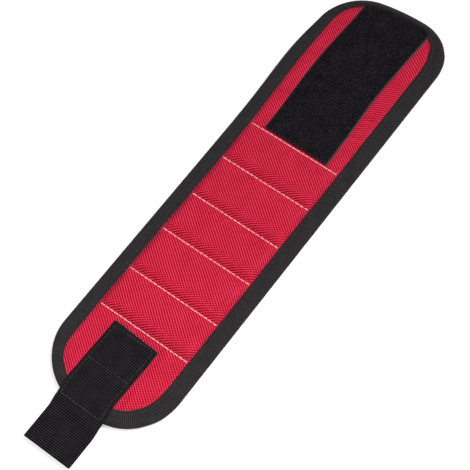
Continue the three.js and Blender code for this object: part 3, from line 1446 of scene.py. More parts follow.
    def pull(self, x: float, y: float) -> float:
        """How far the cloth lifts into puckers beside the seams and creases beside the loop patch.

        Args:
            x: Place along the band.
            y: Place across it.

        Returns:
            The lift.
        """
        inside = self.plan.depth(x, y) - self.plan.tape_cover
        if inside < 0:
            return 0.0
        run = self.plan.seam_distance(x)
        if x > self.patch_start and run > self.strip_from:
            beside = (abs(y) - self.patch_half) / self.strip_rise
            return ease(inside / self.strip_rise) * ease(beside) * self.strip(x, y)
        seams = self.plan.seams
        number = min(range(len(seams)), key=lambda index: abs(x - seams[index]))
        side = 1 if x > seams[number] else -1
        place = self.pucker_rows * number + side
        uneven = wander(y + self.pucker_slant * x, place, Drift.SEAM_PUCKERS)
        return along_marks(run, self.puckers) * uneven

    def lean(self, x: float, y: float) -> float:
        """How far the weave's painted shade lines lean the other way: past each seam and beside
        the loop patch.

        Args:
            x: Place along the band.
            y: Place across it.

        Returns:
            The share, from 0 to 1.
        """
        if x > self.patch_start:
            return along_marks(x, self.right_lean) if y < 0 else self.left_lean
        if not self.plan.in_pockets(x):
            return self.strap_lean
        run = x - max(seam for seam in self.plan.seams if seam <= x)
        uneven = self.lean_wander * wander(y, x, Drift.WEAVE_LEAN)
        return 1 - ease((run - self.lean_reach + self.lean_skew * y - uneven) / self.lean_fade)

    def cloth(self) -> Mesh:
        """The whole front as one smooth cloth.

        Returns:
            The cloth, in millimetres.
        """
        bm = self.plan.sheet(self.cell)
        for vert in bm.verts:
            vert.co.z = self.form(vert.co.x, vert.co.y)
        mesh = to_mesh(bm, "cover_form")
        self.blow_up(mesh)
        holder = show("cover_form", mesh)
        smooth = holder.modifiers.new("smooth", "SUBSURF")
        smooth.levels = 1
        smooth.render_levels = 1
        made = holder.evaluated_get(bpy.context.evaluated_depsgraph_get())
        fine = bpy.data.meshes.new_from_object(made)
        bpy.data.objects.remove(holder)
        bpy.data.meshes.remove(mesh)
        for vert in fine.vertices:
            vert.co.z += self.pull(vert.co.x, vert.co.y)
        return fine

    def build(self) -> None:
        """Makes the front, span by span."""
        whole = self.cloth()
        width = 2 * (self.plan.half_width - self.plan.sheet_inset)
        for span in self.plan.spans:
            bm = cut_between(whole, span.start, span.end)
            # The lean attribute tells the nylon where its painted shade lines turn.
            layer = bm.verts.layers.float.new(LEAN_MAP)
            for vert in bm.verts:
                vert[layer] = self.lean(vert.co.x, vert.co.y)
            low, _ = extrude(bm)
            bmesh.ops.translate(bm, vec=-UP * self.thickness, verts=low)
            face_out(bm)
            name = f"front_cloth_{span.number}"
            piece = self.piece(bm, name, self.wardrobe.nylon, Slot.NYLON, span)
            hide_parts(*span.stand_for("panel"))
            width * MM
            (span.end - span.start) * MM
            self.plan.cloth_area(span)
        bpy.data.meshes.remove(whole)


@dataclass
class Lining(Part):
    """The wrist side: black spacer mesh, padded between the seams and thin where it is bound."""

    cell: float = 0.75
    pad_rise: float = 3.0
    pad_margin: float = 0.3
    seam_flat: float = 1.2
    hole_pitch: float = 3.2
    hole_radius: float = 0.75
    hole_flat: float = 0.3
    hole_depth: float = 0.45
    thin_share: float = 0.3
    fill: float = 0.5

    def hole(self, x: float, y: float) -> float:
        """Depth of the nearest hole of the mesh at a place.

        Args:
            x: Place along the band.
            y: Place across it.

        Returns:
            The depth, from 0 to 1.
        """
        row_height = self.hole_pitch * math.sqrt(3) / 2
        line = round(y / row_height)
        offset = self.hole_pitch / 2 if line % 2 else 0.0
        column = round((x - offset) / self.hole_pitch)
        away = math.hypot(x - offset - column * self.hole_pitch, y - line * row_height)
        return 1 - ease(away / self.hole_radius - self.hole_flat)

    def underside(self, x: float, y: float) -> float:
        """Height of the wrist face at a place.

        Args:
            x: Place along the band.
            y: Place across it.

        Returns:
            The height.
        """
        inside = self.plan.depth(x, y) - self.plan.tape_cover - self.pad_margin
        run = min(self.plan.seam_distance(x) - self.seam_flat, inside)
        pad = math.sin(clamp(run / self.pad_rise) * math.pi / 2)
        height = self.plan.lining_low * (1 - pad)
        if inside > 0:
            share = self.thin_share + (1 - self.thin_share) * pad
            height += self.hole_depth * self.hole(x, y) * share
        return height

    def build(self) -> None:
        """Makes the lining, span by span."""
        flat = self.plan.sheet(self.cell)
        for vert in flat.verts:
            vert.co.z = self.underside(vert.co.x, vert.co.y)
        whole = to_mesh(flat, "lining_form")
        for span in self.plan.spans:
            bm = cut_between(whole, span.start, span.end)
            for vert in extrude(bm)[0]:
                vert.co.z = self.plan.lining_high
            face_out(bm)
            name = f"lining_mesh_{span.number}"
            piece = self.piece(bm, name, self.wardrobe.lining, Slot.LINING, span)
            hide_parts(*span.stand_for("lining"))
        bpy.data.meshes.remove(whole)


@dataclass(frozen=True)
class Stitch:
    """One stitch: a short swell of thread whose ends dive into the cloth."""

    length: float
    radius: float
    dive: float = 0.55
    sides: int = 6
    cuts: int = 3
    thinnest: float = 0.12

    def template(self) -> Mesh:
        """The stitch along X, lying on height 0.

        Returns:
            Its mesh, in millimetres.
        """
        bm = bmesh.new()
        bmesh.ops.create_cone(
            bm,
            cap_ends=True,
            segments=self.sides,
            radius1=self.radius,
            radius2=self.radius,
            depth=self.length,
            matrix=Matrix.Rotation(math.pi / 2, 4, "Y"),
        )
        ends = ((edge, *edge.verts) for edge in bm.edges)
        lengthwise = [edge for edge, a, b in ends if abs(a.co.x - b.co.x) > self.radius]
        bmesh.ops.subdivide_edges(bm, edges=lengthwise, cuts=self.cuts, use_grid_fill=True)
        lay_map(bm, self.wrap)
        for vert in bm.verts:
            out = (2 * vert.co.x / self.length) ** 4
            slim = math.sqrt(max(self.thinnest, 1 - out))
            vert.co.y *= slim
            vert.co.z = vert.co.z * slim - 2 * self.dive * self.radius * out
        return to_mesh(bm, "stitch")

    def wrap(self, vert: BMVert) -> tuple[float, float]:
        """A vertex's place along the thread, in millimetres, and around it, in turns."""
        return vert.co.x, math.atan2(vert.co.z, vert.co.y) / (2 * math.pi)


def lay_stitch(point: Vector, along: Vector, up: Vector, lift: float) -> Matrix:
    """The matrix that lays a stitch on a surface.

    Args:
        point: Where its middle lies.
        along: The way it runs.
        up: The way out of the surface.
        lift: How far its middle line lies above the surface.

    Returns:
        The matrix.
    """
    x_axis = along.normalized()
    z_axis = (up - x_axis * up.dot(x_axis)).normalized()
    turn = Matrix((x_axis, z_axis.cross(x_axis), z_axis)).transposed()
    return Matrix.Translation(point + z_axis * lift) @ turn.to_4x4()


@dataclass
class SeamThreads(Part):
    """The cream stitching across the band at both ends of every pocket."""

    pitch: float = 3.65
    gap: float = 0.22
    radius: float = 0.34
    dive: float = 0.42
    sides: int = 7
    cuts: int = 5
    lift: float = 0.7
    wrist_lift: float = 0.12
    end_margin: float = 0.4
    turn: float = 0.035
    shift: float = 0.10

    def rows(self, seam: float, number: int) -> Iterable[Matrix]:
        """The stitches of one seam on both faces of the band.

        Args:
            seam: Where it lies along X.
            number: Its number, for its own small unevenness.

        Returns:
            A matrix for each stitch.
        """
        half = self.plan.half_width - self.plan.tape_cover - self.end_margin
        for index, y in enumerate(row(-half, half, self.pitch)):
            turn = self.turn * wander(index, number, Drift.SEAM_TURN)
            x = seam + self.shift * wander(y, number, Drift.SEAM_SHIFT)
            along = Vector((turn, 1, 0))
            yield lay_stitch(Vector((x, y, self.plan.panel_high)), along, UP, self.lift)
            yield lay_stitch(Vector((x, y, self.plan.lining_low)), along, -UP, self.wrist_lift)

    def build(self) -> None:
        """Makes the stitching of every seam."""
        stitch = Stitch(self.pitch - self.gap, self.radius, self.dive, self.sides, self.cuts)
        template = stitch.template()
        for number, (seam, span) in enumerate(zip(self.plan.seams, self.plan.spans), start=1):
            bm = set_out(template, self.rows(seam, number))
            piece = self.piece(bm, f"seam_stitches_{number}", self.wardrobe.cream, Slot.THREAD)
            span.bend(piece)
            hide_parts(f"seam_{number}_thread")


@dataclass(frozen=True)
class SectionPoint:
    """A point of a tape's section: its inset from the edge, its height and the way out."""

    inset: float
    height: float
    out: tuple[float, float]
    rib: float
    run: float


@dataclass
class Binding(Part):
    """The black grosgrain tape that is folded over the band's edge and sewn through."""

    rib_pitch: float = 1.35
    rib_depth: float = 0.12
    ring_share: int = 5
    thickness: float = 0.8
    lip_steps: int = 12
    fold_steps: int = 12
    edge_round: float = 0.16
    edge_near: float = 0.2
    edge_far: float = 0.55
    edge_rib: float = 0.3
    left_cover: Marks = ((125.0, 10.2), (162.0, 8.6))
    right_cover: float = 10.8
    strap_cover: Marks = (
        (-90.0, 11.2),
        (-55.0, 10.8),
        (-25.0, 10.4),
        (15.0, 7.6),
        (50.0, 7.8),
        (90.0, 10.2),
    )
    loop_cover: Marks = (
        (-90.0, 11.2),
        (-62.0, 10.3),
        (-38.0, 7.6),
        (-14.0, 5.0),
        (14.0, 5.0),
        (45.0, 6.6),
        (90.0, 8.6),
    )
    tip_lift: Marks = ((0.78, 0.0), (0.93, 0.85))
    climb_share: float = 0.6
    row_inset: float = 8.3
    row_pitch: float = 3.65
    row_gap: float = 0.75
    thread_radius: float = 0.26
    outer_lift: float = 0.35
    wrist_lift: float = 0.1
    crown: float = 0.14
    groove: float = 0.16
    groove_reach: float = 0.55
    press: Marks = ((6.0, 0.0), (10.5, 0.34))
    wrist_share: float = -0.25
    notch: Marks = ((36.0, 0.0), (42.0, 0.16))
    edge_wander: float = 0.32
    stray_run: float = 9.0
    pucker: float = 0.035
    curve_pucker: float = 0.13
    tight_radius: float = 31.0
    puckered: Marks = ((3.0, 0.0), (9.0, 1.0))

    def lip(self, inset: float) -> float:
        """How far the outer face of a lip lies from its flat height.

        Args:
            inset: How far in from the edge.

        Returns:
            The height, less where the sewing presses it down.
        """
        fuller = self.crown * math.sin(math.pi * clamp(inset / self.row_inset))
        groove = self.groove * bell(inset - self.row_inset, self.groove_reach)
        return fuller - groove - along_marks(inset, self.press)

    def wrist_lip(self, inset: float) -> float:
        """Height of the lip on the wrist side at an inset."""
        return self.wrist_share * self.lip(inset)

    def cover(self, point: Vector, inward: Vector) -> float:
        """How far the upper lip reaches in at a place on the edge, as uneven as in the photo.

        Args:
            point: The place.
            inward: The way in from the edge.

        Returns:
            The reach.
        """
        if inward.x:
            heading = math.degrees(math.atan2(-inward.y, abs(inward.x)))
            return along_marks(heading, self.loop_cover if point.x > 0 else self.strap_cover)
        return along_marks(point.x, self.left_cover) if point.y > 0 else self.right_cover

    def outside(self) -> Iterable[SectionPoint]:
        """The outside of the tape's section.

        Returns:
            Its points, from the upper lip round the fold to the lip on the wrist side.
        """
        cover, fold, high = self.plan.tape_cover, self.plan.sheet_inset, self.plan.binding_high
        length = cover - fold
        for step in range(self.lip_steps):
            inset = cover - length * step / self.lip_steps
            yield SectionPoint(inset, high + self.lip(inset), (0, 1), 1.0, cover - inset)
        for step in range(self.fold_steps + 1):
            turn = math.pi * step / self.fold_steps
            out = (-math.sin(turn), math.cos(turn))
            radius = fold + self.lip(fold) * abs(out[1])
            inset, height = (fold + radius * share for share in out)
            yield SectionPoint(inset, height, out, 1.0, length + fold * turn)
        for step in range(1, self.lip_steps + 1):
            inset = fold + length * step / self.lip_steps
            run = length + fold * math.pi + inset - fold
            yield SectionPoint(inset, self.wrist_lip(inset), (0, -1), 1.0, run)

    def section(self) -> list[SectionPoint]:
        """The tape's closed section.

        Returns:
            The points of its outside, then of its inside.
        """
        cover, fold = self.plan.tape_cover, self.plan.sheet_inset
        points = list(self.outside())
        width = points[-1].run
        low, high = self.wrist_lip(cover), self.plan.binding_high + self.lip(cover)
        past, rib = cover + self.edge_round, self.edge_rib
        inner = fold - self.thickness
        half_turn = self.fold_steps // 2
        points += [
            SectionPoint(past, low + self.edge_near, (1, -1), rib, width),
            SectionPoint(past, low + self.edge_far, (1, 1), rib, width),
            SectionPoint(cover, low + self.thickness, (0, 1), 0.0, width),
        ]
        for step in range(half_turn + 1):
            turn = math.pi * step / half_turn
            inset, height = fold - inner * math.sin(turn), fold - inner * math.cos(turn)
            points.append(SectionPoint(inset, height, (0, 0), 0.0, width))
        points += [
            SectionPoint(cover, high - self.thickness, (0, -1), 0.0, width),
            SectionPoint(past, high - self.edge_far, (1, -1), rib, width),
            SectionPoint(past, high - self.edge_near, (1, 1), rib, 0.0),
        ]
        return points

    def drawn_in(self, inset: float, point: Vector, inward: Vector) -> tuple[float, float]:
        """Where an inset of the upper lip ends up, and how far it climbs on the loop patch.

        Args:
            inset: The inset on a lip of full cover.
            point: The place on the edge.
            inward: The way in from the edge.

        Returns:
            The inset there and the lift.
        """
        fold = self.plan.sheet_inset
        length = self.plan.tape_cover - fold
        share = (self.cover(point, inward) - fold) / length
        facing = -inward.x if point.x > 0 else 0.0
        climb = ease((inset - fold) / (self.climb_share * length))
        return fold + (inset - fold) * share, climb * along_marks(facing, self.tip_lift)

    def stray(self, inset: float, point: Vector) -> float:
        """How far a lip strays from its line.

        Args:
            inset: How far in from the edge.
            point: The place on the edge.

        Returns:
            The distance inwards.
        """
        wave = math.cos(2 * math.pi * point.x / self.row_pitch)
        notch = wave * along_marks(abs(point.y), self.notch)
        uneven = self.edge_wander * wander(point.x, point.y, Drift.TAPE_EDGE)
        return ease(inset / self.stray_run) * (uneven + notch)

    def lifted(self, point: Vector, curvature: float, inset: float) -> float:
        """How far a lip lifts into small puckers, most on the inside of a curve.

        Args:
            point: The place on the edge.
            curvature: The edge's curvature there.
            inset: How far in from the edge.

        Returns:
            The lift.
        """
        size = self.pucker + self.curve_pucker * min(1.0, curvature * self.tight_radius)
        uneven = wander(point.x, point.y, Drift.TAPE_PUCKERS)
        return size * along_marks(inset, self.puckered) * uneven

    def tape(self, path: EdgePath) -> BMesh:
        """The folded tape along an edge.

        Args:
            path: The edge.

        Returns:
            A closed mesh in millimetres.
        """
        section = self.section()
        rings = round(path.length / self.rib_pitch) * self.ring_share
        across = [spot.run for spot in section]
        bm, steps = tube_grid(rings, self.rib_pitch / self.ring_share, across)
        fold = self.plan.sheet_inset
        for vert, (ring, index) in steps.items():
            spot = section[index]
            point, inward, curvature = path.at(ring * path.length / rings)
            wave = math.cos(2 * math.pi * ring / self.ring_share)
            rib = self.rib_depth / 2 * spot.rib * wave
            inset, lift = spot.inset, 0.0
            if spot.height > fold and inset > fold:
                inset, lift = self.drawn_in(inset, point, inward)
                lift += self.lifted(point, curvature, spot.inset)
            inset += self.stray(inset, point)
            place = point + inward * (inset + rib * spot.out[0])
            vert.co = Vector((place.x, place.y, spot.height + lift + rib * spot.out[1]))
        close_up(bm)
        return bm

    def stitches(self, path: EdgePath) -> Iterable[Matrix]:
        """The sewing rows along an edge, on both lips.

        Args:
            path: The edge.

        Returns:
            A matrix for each stitch.
        """
        for distance in row(0.0, path.length, self.row_pitch):
            point, inward, _ = path.at(distance)
            along = Vector((-inward.y, inward.x, 0))
            for face in Face:
                inset, lift = self.row_inset, self.wrist_lift
                height = self.wrist_lip(inset)
                if face is Face.OUTER:
                    inset, climb = self.drawn_in(self.row_inset, point, inward)
                    height = self.plan.binding_high + self.lip(self.row_inset) + climb
                    lift = self.outer_lift
                place = point + inward * (inset + self.stray(inset, point))
                spot = Vector((place.x, place.y, height))
                yield lay_stitch(spot, along, UP * face.value, lift * self.thread_radius)

    def paths(self, span: Span) -> list[EdgePath]:
        """The edges of one span.

        Args:
            span: The span.

        Returns:
            One edge round an end, or one on each side.
        """
        if span.start == self.plan.strap_end.tip_x:
            return [self.plan.strap_end.path(span.end)]
        if span.end == self.plan.loop_end.tip_x:
            return [self.plan.loop_end.path(span.start)]
        paths = []
        for heading in (1, -1):
            side = heading * self.plan.half_width
            ends = (Vector((place, side)) for place in (span.start, span.end))
            paths.append(EdgePath((Straight(*ends, Vector((0, -heading))),)))
        return paths

    def build(self) -> None:
        """Makes the tape and its sewing, span by span."""
        template = Stitch(self.row_pitch - self.row_gap, self.thread_radius).template()
        width = max(point.run for point in self.section())
        for span in self.plan.spans:
            paths = self.paths(span)
            bm = bmesh.new()
            for path in paths:
                part = to_mesh(self.tape(path), "binding_part")
                bm.from_mesh(part)
                bpy.data.meshes.remove(part)
            number = span.number
            piece = self.piece(bm, f"binding_{number}", self.wardrobe.binding, Slot.BINDING, span)
            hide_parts(*span.stand_for("binding"))
            rows = set_out(template, (place for path in paths for place in self.stitches(path)))
            name = f"binding_stitches_{number}"
            sewing = self.piece(rows, name, self.wardrobe.black, Slot.BINDING, span)
            width * MM
            sum(path.length for path in paths) * MM


@dataclass
class Strap(Part):
    """The webbing strap: sewn flat on the strap end, over the binding and out past the band."""

    thickness: float = 1.4
    rib_pitch: float = 1.4
    rib_depth: float = 0.22
    edge_rib: float = 0.35
    ring_share: int = 6
    edge_steps: int = 6
    face_steps: int = 16
    end_share: float = 0.8
    heights: Marks = ((-10.6, 3.0), (-2.6, 5.3), (11.9, 5.3), (19.9, 4.1))
    fold_reach: float = 5.0
    row_pitch: float = 2.9
    row_gap: float = 0.6
    row_sink: float = 0.10
    row_lift: float = 0.1
    thread_radius: float = 0.3
    row_margin: float = 2.6
    row_places: tuple[float, ...] = (0.8, 29.0, 54.4)
    press: float = 0.16
    cross_press: float = 0.7
    side_press: float = 0.6
    skew: float = 0.05
    sway: Marks = ((-168.0, 0.0), (-142.0, 2.3), (-104.0, 1.7))
    edge_wander: float = 0.12

    @cached_property
    def half_width(self) -> float:
        """Half the strap's width."""
        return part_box("strap_tab")[1].y / MM

    @cached_property
    def free_end(self) -> float:
        """Where the strap's free end lies along X."""
        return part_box("strap_tab")[0].x / MM

    @cached_property
    def length(self) -> float:
        """How long the strap is."""
        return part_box("strap_anchor")[1].x / MM - self.free_end

    @cached_property
    def cross_rows(self) -> list[float]:
        """Where the sewing rows across the strap lie along X."""
        return [self.plan.strap_end.tip_x + place for place in self.row_places]

    def middle(self, x: float) -> float:
        """Height of the strap's middle at a place along the band."""
        return along_marks(x - self.plan.strap_end.tip_x, self.heights)

    def section(self) -> list[tuple[float, float, float]]:
        """The strap's closed section.

        Returns:
            Each point's place across, its share of half the thickness, and its rib.
        """
        edge = self.thickness / 2
        flat = self.half_width - edge
        points = []
        for side in (1, -1):
            for step in range(self.face_steps + 1):
                points.append((side * flat * (2 * step / self.face_steps - 1), side, 1.0))
            for step in range(1, self.edge_steps):
                angle = math.pi * (side / 2 - step / self.edge_steps)
                across = side * flat + edge * math.cos(angle)
                points.append((across, math.sin(angle), self.edge_rib))
        return points

    def pressed(self, x: float, y: float) -> float:
        """How far the sewing rows press into the strap.

        Args:
            x: Place along the band.
            y: Place across the strap.

        Returns:
            The depth.
        """
        deep = max(bell(x - line, self.cross_press) for line in self.cross_rows)
        if self.cross_rows[0] < x < self.cross_rows[-1]:
            inside = self.half_width - self.row_margin - abs(y)
            deep = max(deep, bell(inside, self.side_press))
        return self.press * deep

    def webbing(self) -> BMesh:
        """The strap.

        Returns:
            A closed mesh in millimetres.
        """
        section = self.section()
        rings = round(self.length / self.rib_pitch) * self.ring_share
        places = [across for across, _, _ in section]
        bm, steps = tube_grid(rings, self.rib_pitch / self.ring_share, places)
        for vert, (ring, index) in steps.items():
            across, level, rib = section[index]
            run = self.length - self.skew * (self.half_width - across)
            x = self.free_end + run * ring / rings
            wave = rib * math.cos(2 * math.pi * ring / self.ring_share)
            full = ease(min(ring, rings - ring) / self.ring_share)
            thick = (self.thickness + self.rib_depth * (wave - 1)) / 2
            thick *= self.end_share + (1 - self.end_share) * full
            uneven = wander(x, math.copysign(1.0, across), Drift.STRAP_EDGE)
            side = across + along_marks(x, self.sway) + self.edge_wander * uneven
            pressed = self.pressed(x, across) if level > 0 else 0.0
            vert.co = Vector((x, side, self.middle(x) + level * thick - pressed))
        close_up(bm)
        return bm

    def on_top(self, x: float, y: float) -> Vector:
        """The point of the strap's upper face where a stitch lies."""
        height = self.middle(x) + self.thickness / 2 - self.row_sink
        return Vector((x, y + along_marks(x, self.sway), height))

    def stitches(self) -> Iterable[Matrix]:
        """The sewing rows across the strap and along its edges.

        Returns:
            A matrix for each stitch.
        """
        half = self.half_width - self.row_margin
        for x in self.cross_rows:
            for y in row(-half, half, self.row_pitch):
                yield lay_stitch(self.on_top(x, y), ACROSS, UP, self.row_lift)
        for y in (-half, half):
            for x in row(self.cross_rows[0], self.cross_rows[-1], self.row_pitch):
                slope = self.middle(x + 0.5) - self.middle(x - 0.5)
                yield lay_stitch(self.on_top(x, y), Vector((1, 0, slope)), UP, self.row_lift)

    def build(self) -> None:
        """Makes the strap and its sewing."""
        strap = self.piece(self.webbing(), "strap_webbing", self.wardrobe.webbing, Slot.WEBBING)
        template = Stitch(self.row_pitch - self.row_gap, self.thread_radius).template()
        rows = set_out(template, self.stitches())
        sewing = self.piece(rows, "strap_stitches", self.wardrobe.black, Slot.WEBBING)
        for piece in (strap, sewing):
            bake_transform(piece)
        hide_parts("strap_anchor", "strap_tab")
        2 * self.half_width * MM
        self.length * MM


@dataclass
class HookTape(Part):
    """The hook tape under the free end of the strap."""

    pitch: float = 1.55
    margin: float = 1.3
    base_low: float = 1.05
    base_round: float = 0.3
    hook_stem: float = 0.55
    hook_radius: float = 0.36
    hook_wire: float = 0.12
    hook_sink: float = 0.05
    turn: float = math.radians(230)
    spin_steps: int = 6

    def hook(self) -> Mesh:
        """One small hook that hangs from height 0.

        Returns:
            Its mesh, in millimetres.
        """
        bm = bmesh.new()
        bmesh.ops.create_circle(bm, cap_ends=True, segments=4, radius=self.hook_wire)
        tip, end = extrude(bm)
        bmesh.ops.translate(bm, vec=-UP * self.hook_stem, verts=tip)
        rim = [edge for face in end for edge in face.edges]
        bmesh.ops.spin(
            bm,
            geom=[*end, *rim, *tip],
            cent=Vector((self.hook_radius, 0, -self.hook_stem)),
            axis=-ACROSS,
            angle=self.turn,
            steps=self.spin_steps,
        )
        face_out(bm)
        return to_mesh(bm, "hook")

    @cached_property
    def corners(self) -> tuple[Vector, Vector]:
        """The tape's lowest and highest corner."""
        low, high = (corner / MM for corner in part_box("hook_tape"))
        low.z = self.base_low
        return low, high

    def base(self) -> BMesh:
        """The tape that carries the hooks.

        Returns:
            A closed mesh in millimetres.
        """
        low, high = self.corners
        bm = bmesh.new()
        bmesh.ops.create_cube(bm, size=1.0)
        bmesh.ops.scale(bm, vec=high - low, verts=bm.verts[:])
        bmesh.ops.translate(bm, vec=(low + high) / 2, verts=bm.verts[:])
        bmesh.ops.bevel(
            bm,
            geom=bm.edges[:],
            offset=self.base_round,
            segments=3,
            affect="EDGES",
            profile=0.5,
            material=-1,
        )
        return bm

    def places(self) -> Iterable[Matrix]:
        """Where the hooks hang, row by row turned about.

        Returns:
            A matrix for each hook.
        """
        low, high = self.corners
        size, middle = high - low, (low + high) / 2
        columns = int((size.x - 2 * self.margin) / self.pitch)
        lines = int((size.y - 2 * self.margin) / self.pitch)
        for column in range(columns + 1):
            for line in range(lines + 1):
                x = middle.x + (column - columns / 2) * self.pitch
                y = middle.y + (line - lines / 2) * self.pitch
                turned = Matrix.Rotation(math.pi if line % 2 else 0.0, 4, "Z")
                yield Matrix.Translation((x, y, self.base_low + self.hook_sink)) @ turned

    def build(self) -> None:
        """Makes the tape and its hooks."""
        low, high = self.corners
        finish = self.wardrobe.hooks
        base = self.piece(self.base(), "hook_tape_base", finish, Slot.HOOKS)
        bm = set_out(self.hook(), self.places())
        hooks = self.piece(bm, "hook_tape_hooks", finish, Slot.HOOKS)
        for piece in (base, hooks):
            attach(piece, "strap_flap")
        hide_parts("hook_tape")


@dataclass
class LoopPatch(Part):
    """The black loop patch on the loop end, with its selvage, its sewing and its pile."""

    low: float = 3.25
    selvage_high: float = 4.35
    pile_high: float = 5.05
    selvage: float = 1.5
    near_spare: float = 0.8
    edge_drop: Marks = ((0.0, 0.5), (0.7, 0.0))
    pile_rise: float = 1.2
    end_inset: float = 3.6
    end_press: Marks = ((0.6, 0.0), (3.2, 1.0))
    cell: float = 0.7
    lumps: float = 0.22
    fine_share: float = 0.6
    loop_count: int = 3600
    loop_radius: float = 0.34
    loop_wire: float = 0.075
    loop_stretch: float = 1.45
    loop_sink: float = 0.12
    loop_lean: float = 0.5
    loop_sizes: tuple[float, float] = (0.7, 1.15)
    pile_margin: float = 0.5
    pile_gap: float = 0.4
    pile_end: float = 2.4
    row_pitch: float = 3.0
    row_gap: float = 0.6
    row_lift: float = 0.06
    row_margin: float = 0.85
    row_end: float = 1.0
    end_row: float = 0.75
    end_row_drop: float = 0.05
    thread_radius: float = 0.25
    cut_spare: float = 1.0
    mean_places: tuple[float, ...] = (-20.0, -10.0, 0.0, 10.0, 20.0)
    seed: int = 41

    @cached_property
    def start(self) -> float:
        """Where the patch starts along X."""
        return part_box("loop_end_1_loop")[0].x / MM

    @cached_property
    def half_width(self) -> float:
        """Half the patch's width."""
        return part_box("loop_end_1_loop")[1].y / MM

    def far(self, y: float) -> float:
        """Where the patch ends along X at a place across it."""
        return self.plan.loop_end.far(y, self.end_inset)

    def top(self, x: float, y: float) -> float:
        """Height of the patch's upper face.

        Args:
            x: Place along the band.
            y: Place across it.

        Returns:
            The height.
        """
        inside = min(self.half_width - abs(y), x - self.start + self.near_spare)
        share = ease((inside - self.selvage) / self.pile_rise)
        share *= along_marks(self.far(y) - x, self.end_press)
        lump = wander(x, y, Drift.PILE_LUMPS) + self.fine_share * wander(x, y, Drift.FINE_LUMPS)
        pile = self.pile_high - self.selvage_high + self.lumps * lump
        return self.selvage_high - along_marks(inside, self.edge_drop) + pile * share

    def ground(self) -> Mesh:
        """The patch's upper face.

        Returns:
            Its mesh, in millimetres.
        """
        bm = bmesh.new()
        across = round(2 * self.half_width / self.cell)
        along = round((self.plan.loop_end.tip_x - self.start) / self.cell)
        bmesh.ops.create_grid(bm, x_segments=along, y_segments=across, size=0.5)
        for vert in bm.verts:
            y = 2 * self.half_width * vert.co.y
            x = self.start + (self.far(y) - self.start) * (vert.co.x + 0.5)
            vert.co = Vector((x, y, self.top(x, y)))
        lay_map(bm, lambda vert: vert.co.xy)
        return to_mesh(bm, "patch_form")

    def loop(self) -> Mesh:
        """One small loop of pile, standing on height 0.

        Returns:
            Its mesh, in millimetres.
        """
        bm = bmesh.new()
        circle = bmesh.ops.create_circle(bm, cap_ends=False, segments=3, radius=self.loop_wire)
        ring = circle["verts"]
        bmesh.ops.translate(bm, vec=ALONG * self.loop_radius, verts=ring)
        geom = [*ring, *bm.edges]
        bmesh.ops.spin(bm, geom=geom, cent=Vector(), axis=-ACROSS, angle=math.pi, steps=5)
        bmesh.ops.scale(bm, vec=Vector((1, 1, self.loop_stretch)), verts=bm.verts[:])
        bmesh.ops.holes_fill(bm, edges=open_edges(bm), sides=0)
        face_out(bm)
        return to_mesh(bm, "loop")

    def pile(self, start: float, end: float) -> Iterable[Matrix]:
        """Where the loops stand between two places along the patch.

        Args:
            start: Where they start along X.
            end: Where they end.

        Returns:
            A matrix for each loop.
        """
        draw = random.Random(self.seed + round(start))
        side = self.half_width - self.selvage - self.pile_margin
        first = max(start, self.start + self.selvage) + self.pile_gap
        for _ in range(self.loop_count):
            y = draw.uniform(-side, side)
            x = draw.uniform(first, min(end, self.far(y) - self.pile_end) - self.pile_gap)
            turn = Matrix.Rotation(draw.uniform(0, math.pi), 4, "Z")
            back = Matrix.Rotation(draw.gauss(0, self.loop_lean), 4, "Y")
            aside = Matrix.Rotation(draw.gauss(0, self.loop_lean), 4, "X")
            size = Matrix.Scale(draw.uniform(*self.loop_sizes), 4)
            foot = Matrix.Translation((x, y, self.top(x, y) - self.loop_sink))
            yield foot @ turn @ back @ aside @ size

    def stitches(self, start: float, end: float) -> Iterable[Matrix]:
        """The sewing rows along the selvages and across the near end, between two places.

        Args:
            start: Where they start along X.
            end: Where they end.

        Returns:
            A matrix for each stitch.
        """
        side = self.half_width - self.row_margin
        for y in (-side, side):
            for x in row(start, min(end, self.far(y) - self.row_end), self.row_pitch):
                yield lay_stitch(Vector((x, y, self.selvage_high)), ALONG, UP, self.row_lift)
        if start <= self.start:
            x, height = self.start + self.end_row, self.selvage_high - self.end_row_drop
            for y in row(-side, side, self.row_pitch):
                yield lay_stitch(Vector((x, y, height)), ACROSS, UP, self.row_lift)

    def build(self) -> None:
        """Makes the patch over the two bends of the loop end."""
        whole = self.ground()
        stitch = Stitch(self.row_pitch - self.row_gap, self.thread_radius).template()
        loop = self.loop()
        near, tip = self.plan.spans[-2:]
        mean_end = sum(map(self.far, self.mean_places)) / len(self.mean_places)
        pile, slot = self.wardrobe.pile, Slot.PILE
        for number, span, cut, start, reach in (
            (1, near, self.start - self.cut_spare, self.start, near.end),
            (2, tip, tip.start, tip.start, mean_end),
        ):
            bm = cut_between(whole, cut, span.end)
            for vert in extrude(bm)[0]:
                vert.co.z = self.low
            face_out(bm)
            patch = self.piece(bm, f"loop_patch_{number}", pile, slot, span)
            loops = set_out(loop, self.pile(start, span.end))
            tufts = self.piece(loops, f"loop_pile_{number}", pile, slot, span)
            rows = set_out(stitch, self.stitches(start, span.end))
            sewing = self.piece(rows, f"loop_stitches_{number}", self.wardrobe.black, slot, span)
            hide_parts(*span.stand_for("loop"))
            2 * self.half_width * MM
            (reach - start) * MM
        bpy.data.meshes.remove(whole)


class Magnets(Part):
    """The block magnets in the pockets, which keep their CAD shape."""

    def build(self) -> None:
        """Gives every magnet its finish."""
        for name, block in frame["nodes"].items():
            if "_magnet_" in name:
                self.wardrobe.dress(block, self.wardrobe.ferrite, Slot.MAGNET)
                log.info("dressed %s", name)


